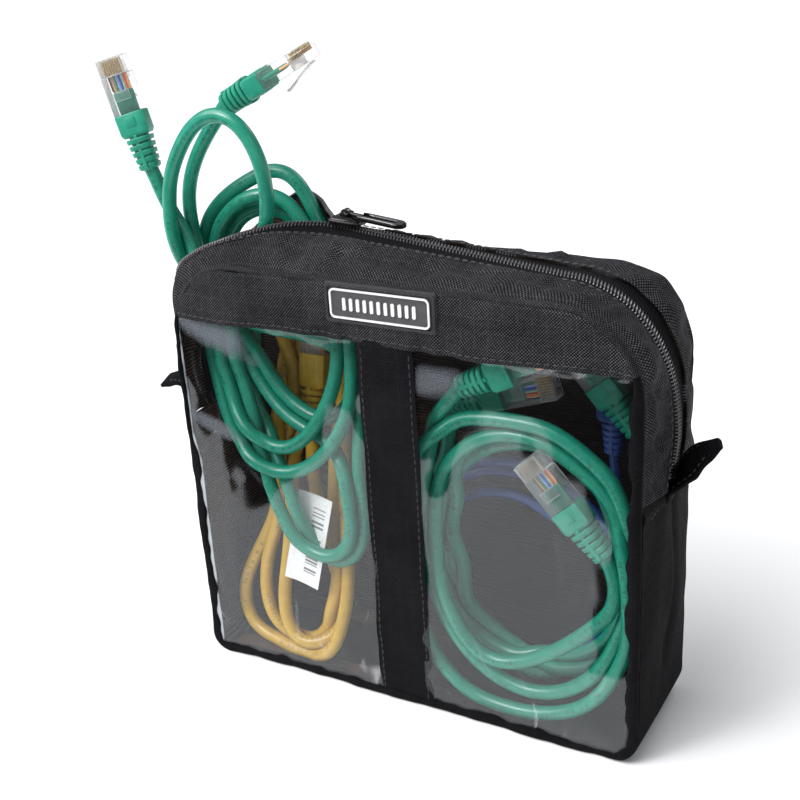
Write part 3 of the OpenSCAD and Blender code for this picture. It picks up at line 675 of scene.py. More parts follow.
ROUTE_B = [
    [25, -18, 136], [16, -18, 124], [10, -18, 111], [8, -18, 97], [8, -18, 76], [8, -18, 59], [12, -18, 45],
    [17, -18, 34], [25, -18, 24], [35, -18, 17], [47, -18, 14], [59, -18, 16], [70, -18, 23], [79, -18, 34],
    [85, -18, 48], [88, -18, 62], [88, -18, 78], [86, -17, 95], [82, -17, 107], [76, -17, 113],
    [69, -17, 118],
    [61, -17, 123], [52, -17, 125], [40, -17, 125], [29, -17, 124], [19, -17, 121], [9, -18, 111],
    [3, -19, 98],
    [0, -20, 82], [0, -20, 64], [2, -20, 44], [7, -20, 27], [14, -20, 16], [24, -20, 8], [37, -20, 5],
    [52, -20, 6], [66, -20, 11], [76, -20, 19], [83, -20, 31], [88, -20, 45], [89, -20, 60], [88, -18, 76],
    [84, -15, 91], [77, -15, 103], [68, -15, 110], [59, -15, 116], [47, -15, 119], [34, -15, 117],
    [22, -16, 109], [14, -17, 97], [11, -18, 83], [12, -19, 66], [15, -20, 50], [22, -20, 35],
    [31, -20, 26],
    [42, -20, 26], [53, -20, 31], [64, -20, 39], [74, -20, 49], [82, -19, 58], [84, -19, 68], [80, -20, 81]]
ROUTE_C = [[14, -4, 123], [12.8, -4, 113], [11.6, -4, 104], [9.8, -4, 94], [9, -4, 84]] + turns(
    46, 66, 36.5, 12, -4, 190, 1090, sway=0.03) + [[83, -4, 84], [85.5, -1, 95], [85.5, 3, 107],
                                                   [82, 6, 118]]
ROUTE_D = [[84, 15, 96], [84, 14, 84], [80, 11, 72]] + turns(33, 50, 43.5, 0, 10, 16, -900, sway=0.03) + [
    [-2, 10, 64], [6, 9, 73], [18, 9, 80], [32, 9, 82], [46, 9, 77], [58, 9, 71], [66, 10, 72],
    [71, 11, 80],
    [72, 13, 89], [71, 14, 96], [70, 15, 104]]
LEADS = {   # name: (route, radius, plug at its start, plug at its end, body, jacket, boot, jacket slot)
    "lead_a": (ROUTE_A, 2.8, "p1", "p2", "lead_a", GREEN, GREEN_BOOT, "green_sheath"),
    "yellow": (ROUTE_Y, 2.8, "y2", "y1", "pouch", YELLOW, YELLOW_BOOT, "yellow_sheath"),
    "lead_b": (ROUTE_B, 2.8, "p4", "p3", "pouch", GREEN, GREEN_BOOT, "green_sheath"),
    "lead_c": (ROUTE_C, 2.8, "p5", "p6", "pouch", GREEN, GREEN_BOOT, "green_sheath"),
    "blue": (ROUTE_D, 2.0, "p7", "p8", "pouch", BLUE, BLUE_BOOT, "blue_sheath")}
STEP = 3.0


def keep_inside(x, r):
    """Holds points inside the pouch's cloth: its sides, its bottom corners, and front and back."""
    low = x[:, 2] < TOP - 14
    y = np.clip(x[:, 1], -25.3 + r, 25.4 - r)
    x[:, 1] = np.where(low, y, x[:, 1])
    side = HW - 2.6 - r
    x[:, 0] = np.where(x[:, 2] < SEAM_Z + 15, np.clip(x[:, 0], -side, side), x[:, 0])
    x[:, 2] = np.maximum(x[:, 2], 2.4 + r)
    cx = np.sign(x[:, 0]) * (HW - LOW_R)
    d = np.stack([x[:, 0] - cx, x[:, 2] - LOW_R], -1)
    far = np.linalg.norm(d, axis=1)
    hit = (np.abs(x[:, 0]) > HW - LOW_R) & (x[:, 2] < LOW_R) & (far > LOW_R - 2.4 - r)
    d *= np.where(hit, (LOW_R - 2.4 - r) / np.maximum(far, 1e-6), 1)[:, None]
    x[:, 0] = np.where(hit, cx + d[:, 0], x[:, 0])
    x[:, 2] = np.where(hit, LOW_R + d[:, 1], x[:, 2])
    return x


def settle(rounds=220):
    """Moves the leads apart over a set number of rounds, pushing them off one another, the plugs and the
    pouch's cloth.
    """
    home, r, owner, index, fixed = [], [], [], [], []
    ends = {}
    for i, (name, (route, rad, first, last, *_)) in enumerate(LEADS.items()):
        p = even(catmull(route, 8), STEP)
        ends[name] = (len(home), len(home) + len(p))
        home += p.tolist()
        r += [rad] * len(p)
        owner += [i] * len(p)
        index += range(len(p))
        fixed += [1 if k < 3 or k >= len(p) - 3 else 0 for k in range(len(p))]
    moving = len(home)
    for i, (route, rad, first, last, *_) in enumerate(LEADS.values()):
        for plug, tag in ((first, 0), (last, 10 ** 6)):
            m = aim(plug)
            for s in np.arange(1.5, BOOT_L + PLUG_L, 3.0):
                for side in (-2.6, 2.6):
                    home.append(list(m @ Vector((s, side, 0))))
                    r.append(3.3)
                    owner.append(i + (0 if s < 8 else 100))
                    index.append(tag)
                    fixed.append(1)
    for side in ("front", "back"):
        g = gusset_grid(side, 0.02, 1.0, 9, n=4)[0].reshape(-1, 3)
        home += g.tolist()
        for lst, v in ((r, 1.6), (owner, 999), (index, 0), (fixed, 1)):
            lst += [v] * len(g)
    home, r, owner, index = np.array(home), np.array(r), np.array(owner), np.array(index)
    free = np.array(fixed[:moving]) == 0
    x = home.copy()
    starts = [a for a, b in ends.values()]
    stops = [b for a, b in ends.values()]
    inner = np.ones(moving, bool)
    inner[starts] = inner[[b - 1 for b in stops]] = False
    mid = np.where(inner)[0]
    for it in range(rounds):
        if it % 11 == 0:
            pairs_i, pairs_j = [], []
            for a in range(0, moving, 256):
                block = x[a:a + 256].astype(np.float32)
                near = np.linalg.norm(block[:, None] - x[None].astype(np.float32), axis=2) < r[a:a + 256,
                    None] + r[None] + 4
                i, j = np.nonzero(near)
                i = i + a
                ok = (j > i) & ~((owner[i] == owner[j]) & (np.abs(index[i] - index[j]) * STEP < 15)
                                 & (j < moving))
                ok &= ~((owner[i] == owner[j]) & (j >= moving))
                pairs_i.append(i[ok])
                pairs_j.append(j[ok])
            pi, pj = np.concatenate(pairs_i), np.concatenate(pairs_j)
        d = x[pi] - x[pj]
        dist = np.linalg.norm(d, axis=1)
        gap = r[pi] + r[pj] + 0.2 - dist
        hit = gap > 0
        if hit.any():
            i, j, dd, ds, gg = pi[hit], pj[hit], d[hit], dist[hit], gap[hit]
            dd = np.where(ds[:, None] < 0.4, np.array([0, 1.0, 0]) * np.where((i + j) % 2, 1, -1)[:, None],
                          dd / np.maximum(ds, 1e-6)[:, None])
            dd = unit(dd * np.array([0.6, 1.0, 0.6]))
            push = np.zeros_like(x)
            count = np.zeros(len(x))
            both = j < moving
            w = np.where(both, 0.5, 1.0) * gg * 0.8
            np.add.at(push, i, dd * w[:, None])
            np.add.at(push, j, -dd * w[:, None])
            np.add.at(count, i, 1)
            np.add.at(count, j, 1)
            step = push[:moving] / np.maximum(1, count[:moving] ** 0.5)[:, None]
            x[:moving][free] += step[free]
        calm = 0.22 if it < rounds - 25 else 0.12
        pull = 0.03 if it < rounds // 2 else 0.008
        avg = 0.5 * (x[mid - 1] + x[mid + 1])
        smooth = x.copy()
        smooth[mid] += calm * (avg - x[mid])
        lap = smooth[mid] - x[mid]
        full = np.zeros((moving, 3))
        full[mid] = lap
        full[mid] -= 0.5 * (full[mid - 1] + full[mid + 1])
        x[:moving][free] += (full * 0.9)[free] + 0.1 * (smooth[:moving] - x[:moving])[free] * 0.6
        x[:moving][free] += (pull * (home[:moving] - x[:moving]))[free]
        bend = 0.5 * (x[mid - 1] + x[mid + 1]) - x[mid]
        size = np.linalg.norm(bend, axis=1)
        bend *= (np.maximum(0, size - STEP ** 2 / (11 * r[mid])) / np.maximum(size, 1e-6))[:, None]
        relax = np.zeros((moving, 3))
        relax[mid] += 0.9 * bend
        relax[mid - 1] -= 0.45 * bend
        relax[mid + 1] -= 0.45 * bend
        x[:moving][free] += relax[free]
        kept = keep_inside(x[:moving].copy(), r[:moving])
        x[:moving][free] = kept[free]
    return {name: x[a:b] for name, (a, b) in ends.items()}


def make_boots(name, plugs, radius, look, body, slot, node):
    s = Solid()
    for plug in plugs:
        s.at = aim(plug)
        ribs = 5
        pitch = RIB_L / ribs
        core = radius + 0.8
        stations = [(-0.4, core - 0.4, core - 0.4)]
        for k in range(ribs):
            x0, w = k * pitch, radius + 1.25 + 0.24 * k
            stations += [(x0, core, core), (x0 + 0.05, w - 0.2, w - 0.2), (x0 + 0.3, w, w),
                         (x0 + 1.6, w + 0.1, w + 0.1),
                         (x0 + 1.85, w - 0.1, w - 0.1), (x0 + 1.9, core, core)]
        stations += [(RIB_L - 0.1, core, core), (RIB_L + 0.5, core, core)]
        s.loft(stations, 24, 3.2)
        end = BOOT_L + (5 if plug == "y1" else 0)
        s.loft([(RIB_L, 4.7, 3.4), (RIB_L + 0.1, 5.2, 3.8), (RIB_L + 0.6, 5.5, 4.05),
                (RIB_L + 1.4, 6.0, 4.1), (end - 0.5, 6.05, 4.1),
                (end - 0.1, 5.9, 3.9), (end, 5.6, 3.6)], 32, 7.0)
        for q in (-1, 1):
            s.box((0.2, -0.8, q * (radius + 0.95) - 0.9), (RIB_L + 0.5, 0.8, q * (radius + 0.95) + 0.9),
                  0.3, 1)
            s.box((RIB_L + 3.5, -2.2, q * 3.7 - 0.6), (end - 1.5, 2.2, q * 3.7 + 0.6), 0.35, 2)
    return put(s.done(name, look), body, slot, node)


def make_plugs(name, plugs, jacket, body, node):
    s = Solid()
    end = BOOT_L + PLUG_L
    for plug in plugs:
        s.at = aim(plug)
        s.box((BOOT_L - 0.5, -5.85, -3.3), (end - 6.6, 5.85, 3.3), 0.45, 2)
        s.box((end - 6.55, -5.75, -3.2), (end, 5.75, 1.6), 0.35, 2)
        for k in range(9):
            y = (k - 4) * 1.02
            w = 0.33 if 0 < k < 8 else 0.85
            shift = 0 if 0 < k < 8 else math.copysign(0.55, y)
            s.box((end - 6.55, y - w + shift, 1.65), (end - 0.15, y + w + shift, 3.2), 0.08, 1)
        s.box((BOOT_L + 5, -3.6, 3.35), (BOOT_L + 9, 3.6, 3.7), 0.15, 1)
        s.loft([(BOOT_L - 0.6, 4.0, 1.1), (BOOT_L + 8.0, 4.1, 1.0), (BOOT_L + 8.6, 3.8, 0.7)], 20, 4.0, 1)
    return put(s.done(name, [PLUG, jacket]), body, "clear_plug", node)


def make_wires(prefix, plugs, body, nodes):
    gold, cores = Solid(), Solid()
    for plug in plugs:
        gold.at = cores.at = aim(plug)
        for k in range(8):
            y = (k - 3.5) * 1.02
            gold.box((BOOT_L + PLUG_L - 6.3, y - 0.15, 0.2), (BOOT_L + PLUG_L - 0.7, y + 0.15, 2.9), 0.06,
                     1)
            cores.loft([(BOOT_L + 8.0, 0.44, 0.44, y * 0.85, 0.1), (BOOT_L + 10, 0.46, 0.46, y, 0.1),
                        (BOOT_L + 14.8, 0.46, 0.46, y, 0.1)], 8, 2.0, k)
    put(gold.done(prefix + "contacts_gold", GOLD), body, "contact_gold", nodes[0])
    put(cores.done(prefix + "cores_coloured", CORES), body, "core_insulation", nodes[1])
    return [bpy.data.objects[prefix + "contacts_gold"], bpy.data.objects[prefix + "cores_coloured"]]


def make_latch(node, plug):
    s = Solid()
    s.at = aim(plug) @ Matrix.Translation((BOOT_L + 19.5, 0, -3.95)) @ Matrix.Rotation(math.radians(-16), 4,
        "Y")
    s.loft([(0.4, 2.7, 0.2), (0.2, 3.0, 0.45), (-3, 3.0, 0.45), (-6.4, 3.0, 0.5), (-7.2, 1.9, 0.45),
            (-10, 1.65, 0.42),
            (-13.4, 1.6, 0.42), (-14.2, 2.1, 0.6), (-14.5, 1.9, 0.45)], 16, 5.0)
    return put(s.done(node + "_lever", LATCH), node, "clear_plug", node)


def make_leads():
    lines = settle()
    cords = {}
    for name, (route, rad, first, last, body, jacket, boot, slot) in LEADS.items():
        line = lines[name]
        a, b = aim(first) @ Vector((4, 0, 0)), aim(last) @ Vector((4, 0, 0))
        line = np.concatenate([[list(a)], line, [list(b)]])
        line = even(catmull(line, 4), 2.0)
        cord = link(name + "_cord", tube_mesh(name + "_cord", line, rad, 16), jacket)
        put(cord, body, slot, name + "_coil", name + "_tails")
        cords[name] = (cord, line)
        plugs = (first, last)
        make_boots(name + "_boots_ribbed", plugs, rad, boot, body, slot, name + "_boots")
        make_plugs(name + "_plugs_clear", plugs, jacket, body, name + "_plugs")
    wires_a = make_wires("lead_a_", ("p1", "p2"), "lead_a", ("lead_a_contacts", "lead_a_cores"))
    stored = [p for n in LEADS if n != "lead_a" for p in LEADS[n][2:4]]
    make_wires("stored_", stored, "pouch", ("stored_contacts", "stored_cores"))
    for name, plugs in (("lead_a", ("p1", "p2")), ("yellow", ("y1", "y2")), ("lead_b", ("p3", "p4")),
                        ("lead_c", ("p5", "p6")), ("blue", ("p7", "p8"))):
        for k, plug in enumerate(plugs, 1):
            make_latch(f"{name}_latch_{k}", plug)
    for name, (cord, line) in cords.items():
        rad = LEADS[name][1]
        extra = [bpy.data.objects[name + "_boots_ribbed"], bpy.data.objects[name + "_plugs_clear"]]
        if name == "lead_a":
            extra += wires_a
        round(lengths(line)[-1] * MM, 3)


make_leads()


# ---- pouch cloth ---------------------------------------------------------------------
def half_width(z, inset):
    """Half the width of the front at height z, for lines inset from its edge."""
    if z > TOP - TOP_R:
        r = TOP_R - inset
        return HW - TOP_R + math.sqrt(max(0, r * r - (z - TOP + TOP_R) ** 2))
    if z < LOW_R:
        r = LOW_R - inset
        return HW - LOW_R + math.sqrt(max(0, r * r - (z - LOW_R) ** 2))
    return HW - inset


def heights(z0, z1, inset, step):
    """Rows from z0 to z1, closer together where they reach a rounded corner."""
    zs = []
    if z0 < LOW_R - 0.01:
        a0 = math.asin(min(1, (LOW_R - z0) / (LOW_R - inset)))
        zs += [LOW_R - (LOW_R - inset) * math.sin(a) for a in np.linspace(a0, 0, 8)[:-1]]
    lo, hi = max(z0, LOW_R), min(z1, TOP - TOP_R)
    if hi > lo:
        zs += np.linspace(lo, hi, max(2, int((hi - lo) / step)))[:-1].tolist()
    if z1 > TOP - TOP_R:
        a0, a1 = (math.asin(min(1, max(0, (z - TOP + TOP_R) / (TOP_R - inset)))) for z in (z0, z1))
        zs += [TOP - TOP_R + (TOP_R - inset) * math.sin(a) for a in np.linspace(a0, a1, 16)]
    else:
        zs.append(z1)
    return zs


def panel(name, z0, z1, left, right, face, thick, look, step=2.5, inset=1.6, back=False):
    """An upright sheet between x = left(z) and right(z), with its outer face at y = face(x, z)."""
    zs = heights(z0, z1, inset, step)
    n = max(8, int((right(z0 + 20) - left(z0 + 20)) / step))
    s = np.linspace(0, 1, n)
    x = np.array([left(z) + (right(z) - left(z)) * s for z in zs])
    z = np.repeat(np.array(zs)[:, None], n, 1)
    g = np.stack([x, face(x, z), z], -1)
    out = normals_of(g)[len(zs) // 2, n // 2, 1] * (1 if back else -1) > 0
    return link(name, sheet_mesh(name, g, thick, x, z, flip=not out), look, sharp=60)


def stitched(name, lines, body, slot, look, pitch=3.1, half=1.15, thick=0.27):
    """Rows of thread stitches, each line an array of points."""
    centres, along = [], []
    for line in lines:
        p = even(np.asarray(line, float), pitch / 4)
        t = unit(np.gradient(p, axis=0))
        centres += p[2:-2:4].tolist()
        along += t[2:-2:4].tolist()
    across = np.cross(along, [0.1, 1.0, 0.2])
    return put(link(name, beads_mesh(name, centres, along, across, (half, thick, thick)), look), body, slot)


def near_edge(x, z, z0=0.0, z1=BAND_Z):
    """0 at the sewn edges of a window, 1 well inside it."""
    side = np.minimum(HW - 2 - np.abs(x), np.abs(x) - STRIP)
    d = np.minimum(side, np.minimum(z - z0 - 1.6, z1 - z))
    return np.clip(d / 16, 0, 1) ** 0.7


def lined(o):
    """Gives the faces of a sheet that look into the pouch its brown-black lining."""
    o.data.materials.append(INNER_SHADED)
    n = len(o.data.polygons)
    centre, normal = np.zeros(3 * n), np.zeros(3 * n)
    o.data.polygons.foreach_get("center", centre)
    o.data.polygons.foreach_get("normal", normal)
    inward = ((np.array([0, 0, 0.09]) - centre.reshape(n, 3)) * normal.reshape(n, 3)).sum(1) > 0
    o.data.polygons.foreach_set("material_index", inward.astype(np.int32))
    return o


def make_windows():
    swell = waves(11, 5, 70, 150)
    ripple = waves(12, 9, 14, 45)
    for side, name in ((-1, "window_left"), (1, "window_right")):
        def face(x, z):
            e = near_edge(x, z)
            return -26.6 - e * (1.5 + 0.55 * swell(x, z)) - (1.0 - 0.75 * e) * 0.14 * ripple(x * 1.3, z)
        inner = STRIP - 3.0
        if side < 0:
            left, right = (lambda z: -half_width(z, 1.6)), (lambda z: -inner)
        else:
            left, right = (lambda z: inner), (lambda z: half_width(z, 1.6))
        o = panel(name + "_film", 1.6, BAND_Z + 3, left, right, face, 0.4, FILM, step=1.8)
        put(o, "pouch", "clear_film", name)


def make_front():
    ripple = waves(21, 10, 12, 55)
    soft = waves(22, 5, 50, 130)

    def band_face(x, z):
        near_badge = np.exp(-(np.maximum(np.abs(x) - 24, 0) / 8) ** 2) * np.exp(-((z - 165.6) / 12) ** 2)
        turn = np.arctan2(z - 165.6, np.abs(x) - 18)
        folds = np.cos(turn * 9) * np.exp(-((np.hypot(np.abs(x) - 22, z - 165.6) - 13) / 10) ** 2)
        f = 0.6 * ripple(x, 1.5 * z) + 1.0 * soft(x, z) + 0.9 * folds
        roll = 0.8 * np.exp(-((z - BAND_Z) / 1.3) ** 2)
        ax, az = np.abs(x) - HW + TOP_R, z - TOP + TOP_R
        rim = np.where((ax > 0) & (az > 0), TOP_R - np.hypot(ax, az), np.minimum(HW - np.abs(x), TOP - z))
        roll = roll + 4.2 * np.exp(-(rim / 2.6) ** 2) * (np.abs(x) < HW)
        return -27.65 - f * (1 - 0.95 * near_badge) * np.clip((HW - 2 - np.abs(x)) / 8, 0.2,
            1) - 0.35 + 0.3 * roll

    band = panel("front_top_band_cloth", BAND_Z, TOP - 1.7, lambda z: -half_width(z, 1.6),
                 lambda z: half_width(z, 1.6),
                 band_face, 0.9, CLOTH, step=1.6)
    put(band, "pouch", "ripstop_nylon", "front_top_band")

    def strip_face(x, z):
        crown = 0.5 * (1 - (x / STRIP) ** 2)
        return -27.0 - crown - 0.3 * ripple(x + 40, z * 0.8) - 0.35 * soft(x, z + 90)

    strip = panel("front_center_strip_cloth", 1.6, BAND_Z + 1.5, lambda z: -STRIP - 0.25 * math.sin(z / 11),
                  lambda z: STRIP + 0.25 * math.sin(z / 9 + 1), strip_face, 0.6, STRAP, step=1.5)
    put(strip, "pouch", "ripstop_nylon", "front_center_strip")
    lines = []
    for x in (-STRIP + 1.7, STRIP - 1.7):
        z = np.linspace(3.5, BAND_Z - 1, 120)
        lines.append(np.stack([np.full(120, x), strip_face(np.full(120, x), z) - 0.12, z], -1))
    x = np.linspace(-HW + 3, HW - 3, 160)
    z = np.full(160, BAND_Z + 1.8)
    lines.append(np.stack([x, band_face(x, z) - 0.12, z], -1))
    stitched("front_stitches", lines, "pouch", "ripstop_nylon", THREAD)


def make_bindings():
    for name, y, node in (("front_piping_binding", -25.8, "front_piping"),
                          ("back_piping_binding", 25.8, "back_piping")):
        p2 = outline(0.0, 14)
        p = even(np.concatenate([p2, p2[:1]]), 1.5)[:-1]
        s = lengths(p)
        t = unit(np.roll(p, -1, 0) - np.roll(p, 1, 0))
        inward = np.stack([-t[:, 1], t[:, 0]], -1)
        w = waves(31 if y < 0 else 32, 7, 8, 36)
        low = np.clip((np.where(p[:, 0] < 0, 100, BAND_Z) - p[:, 1]) / 10, 0, 1) if y < 0 else 0 * s + 0.4
        wide = 1.15 + 1.2 * low + 0.22 * w(s + 200, 0 * s) * (0.3 + low)
        deep = 1.8 + 0.12 * w(s + 90, 0 * s)
        pinch = low * np.exp(-(((np.hypot(p[:, 0] + HW - 3, p[:, 1] - 3)) / 6) ** 2))
        centre = p + inward * (wide + 0.05 + 0.35 * (1 - low) * (p[:, 1] > 140) - 2.1 * pinch)[:, None]
        a = TAU * np.arange(16) / 16
        ca, sa = np.cos(a), np.sin(a)
        ca, sa = np.sign(ca) * np.abs(ca) ** 0.8, np.sign(sa) * np.abs(sa) ** 0.8
        g = np.empty((len(p) + 1, 17, 3))
        rim = centre[:, None] + inward[:, None] * (wide[:, None] * ca)[..., None]
        depth = (y + 0.3 * w(s, 0 * s))[:, None] + deep[:, None] * sa
        g[:-1, :-1] = np.stack([rim[..., 0], depth, np.maximum(rim[..., 1], 0)], -1)
        g[-1], g[:, -1] = g[0], g[:, 0]
        u, v = np.meshgrid(np.arange(len(p) + 1) * 1.5, np.arange(17) * 0.7, indexing="ij")
        faces = grid_faces(len(p), 16, ring=True, closed=True)
        o = link(name, mesh_of(name, g[:-1, :-1].reshape(-1, 3), faces.tolist(), [grid_uvs(u, v)]),
                 [EDGE, CLOTH])
        upper = np.repeat((p[:, 1] > BAND_Z + 1).astype(np.int32), 16)
        o.data.polygons.foreach_set("material_index", upper)
        put(o, "pouch", "edge_binding", node)


def ring_line(top):
    """Line down the left side, along the bottom and up the right side."""
    r = LOW_R
    left = [[-HW, top + (LOW_R - top) * t] for t in np.linspace(0, 1, 60)]
    arc = [[-HW + r - r * math.cos(a), r - r * math.sin(a)] for a in np.linspace(0, math.pi / 2, 12)[1:]]
    half = left + arc
    bottom = [[x, 0] for x in np.linspace(-HW + LOW_R, HW - LOW_R, 70)[1:-1]]
    return np.array(half + bottom + [[-x, z] for x, z in reversed(half)])


def make_lower_gusset():
    line = ring_line(SEAM_Z + 3)
    s = lengths(line)
    y = np.linspace(-EDGE_Y - 1.1, EDGE_Y + 1.1, 26)
    t = unit(np.gradient(line, axis=0))
    out = np.stack([t[:, 1], -t[:, 0]], -1)
    out *= np.sign((out * (line - [0, 60])).sum(1))[:, None]
    ripple, soft = waves(41, 9, 16, 60), waves(42, 5, 60, 140)
    ss, yy = np.meshgrid(s, y, indexing="ij")
    side = np.clip((line[:, 1] - 4) / 22, 0, 1)[:, None]
    across = np.cos(math.pi * np.clip(yy / (2 * EDGE_Y), -0.5, 0.5)) ** 0.6
    d = side * across * (1.1 + 1.1 * soft(ss, yy) + 0.45 * ripple(ss * 0.5, yy * 1.6))
    d += 1.3 * side * np.exp(-((ss - 60) / 35) ** 2) * 0.3
    d *= np.clip((SEAM_Z - line[:, 1]) / 10, 0.15, 1)[:, None]
    fold = np.abs(yy + 3 * np.sin(ss / 33)) / 2.2
    d -= 0.9 * side * np.exp(-fold ** 2) * np.clip(soft(ss * 0.6, 0 * ss) + 0.4, 0, 1)
    hem = np.exp(-(np.maximum(0, np.abs(line[:, 1] - 100.6) - 1.6) / 0.6) ** 2)[:, None]
    d += 0.75 * hem - 0.9 * np.clip((line[:, 1] - 104) / 1.5, 0, 1)[:, None]
    g = np.stack([line[:, None, 0] + out[:, None, 0] * d, yy, line[:, None, 1] + out[:, None, 1] * d], -1)
    o = link("lower_gusset_cloth", sheet_mesh("lower_gusset_cloth", g, 0.9, ss, yy, flip=True), SIDE_SHADED,
             sharp=70)
    put(lined(o), "pouch", "ripstop_nylon", "lower_gusset")
    rows = [[[q * (HW + 0.95), v, 98.9] for v in np.linspace(-EDGE_Y + 3, EDGE_Y - 3, 60)] for q in (-1, 1)]
    stitched("side_hem_stitches", rows, "pouch", "ripstop_nylon", THREAD)


def make_upper_gussets():
    for side in ("front", "back"):
        g, out, u, v = gusset_grid(side, -0.09, 0.72, 17, n=10)
        m = len(g)
        ripple, soft = waves(51 + len(side), 11, 10, 38), waves(61 + len(side), 5, 45, 110)
        t = np.linspace(-0.1, 1, 17)[None]
        hold = np.sin(math.pi * np.clip(t * 0.97 + 0.02, 0, 1)) ** 0.6
        d = hold * (1.2 * soft(u, v) + 1.0 * ripple(u * 1.25, v * 0.8))
        if side == "back":
            d += hold * (2.6 * np.exp(-((u - 66) / 9) ** 2) - 1.2 * np.exp(-((u - 47) / 8) ** 2) - 1.2
                         * np.exp(-((u - 88) / 10) ** 2))
        crease = np.exp(-((v - 9) / 1.6) ** 2) * np.clip((u - 60) / 20, 0, 1) * np.clip((230 - u) / 30, 0,
            1)
        d += 0.9 * np.exp(-((v - 3.0) / 2.2) ** 2) - 0.9 * crease
        g = g + out[:, None] * d[..., None]
        name = f"zip_gusset_{side}_cloth"
        n = normals_of(g)[m // 2, 8]
        o = link(name, sheet_mesh(name, g, 0.9, u, v, flip=n[2] < 0), CLOTH, sharp=70)
        put(lined(o), "pouch", "ripstop_nylon", f"zip_gusset_{side}")
        # zip tape, tucked under the cloth's free edge
        g, out, u, v = gusset_grid(side, 0.66, 0.955, 9, n=10)
        lift = np.interp(np.linspace(0.66, 0.955, 9), [0.66, 0.74, 0.86, 0.955], [-1.2, -1.1, -0.45, 0.0])
        g = g + out[:, None] * (lift[None, :, None] + 0.12 * np.sin(u * TAU / 3.1)[..., None] * 0.5)
        name = f"zip_tape_{side}_knit"
        n = normals_of(g)[m // 2, 4]
        o = link(name, sheet_mesh(name, g, 0.5, u, v, flip=n[2] < 0), TAPE, sharp=70)
        put(o, "pouch", "zip_tape", f"zip_tape_{side}")
        # stitches along the fold of the cloth
        rows = []
        for share in (0.665, 0.70):
            q, out, _, _ = gusset_grid(side, share, share + 0.01, 2, n=10)
            rows.append(q[:, 0] + out * 0.15)
        stitched(f"zip_stitches_{side}", rows, "pouch", "zip_tape", THREAD)
        # coil teeth
        line = catmull(ZIP[side], 12)
        inner = gusset_grid(side, 0.9, 1.0, 2, n=12)[0]
        across = unit(inner[:, 1] - inner[:, 0])
        pitch = 1.32
        s = lengths(line)
        at = np.arange(pitch * (1 if side == "front" else 0.5) + 0.6, s[-1] - 1, pitch)
        centre = np.stack([np.interp(at, s, line[:, i]) for i in range(3)], -1)
        tan = unit(np.stack([np.interp(at, s, unit(np.gradient(line, axis=0))[:, i]) for i in range(3)],
                            -1))
        acr = unit(np.stack([np.interp(at, s, across[:, i]) for i in range(3)], -1))
        slant = 0.42 if side == "front" else -0.42
        name = f"zip_teeth_{side}_coil"
        o = link(name, beads_mesh(name, centre, acr + slant * tan, np.cross(acr, tan), (1.55, 1.0, 0.56)),
                 COIL)
        put(o, "pouch", "zip_coil", f"zip_teeth_{side}")
        core = tube_mesh(name + "_cord", even(line - across * 0.35, 2.5), 0.8, 8)
        put(link(f"zip_coil_cord_{side}", core, TAPE), "pouch", "zip_tape")


def make_back():
    soft, ripple = waves(71, 6, 50, 140), waves(72, 9, 18, 60)

    def face(x, z):
        e = np.clip(np.minimum(HW - 3 - np.abs(x), np.minimum(z - 3, TOP - 3 - z)) / 18, 0, 1)
        return 26.9 + e * (0.9 + 0.8 * soft(x, z) + 0.3 * ripple(x, z * 1.3))
    o = panel("back_panel_cloth", 2.6, TOP - 2.7, lambda z: -half_width(z, 2.6),
              lambda z: half_width(z, 2.6), face, 0.9,
              CLOTH, step=2.4, inset=2.6, back=True)
    put(lined(o), "pouch", "ripstop_nylon", "back_panel")
    p = outline(5.2, 12)
    lines = [np.stack([p[:, 0], face(p[:, 0], p[:, 1]) + 0.12, p[:, 1]], -1)]
    stitched("back_stitches", lines, "pouch", "ripstop_nylon", THREAD)


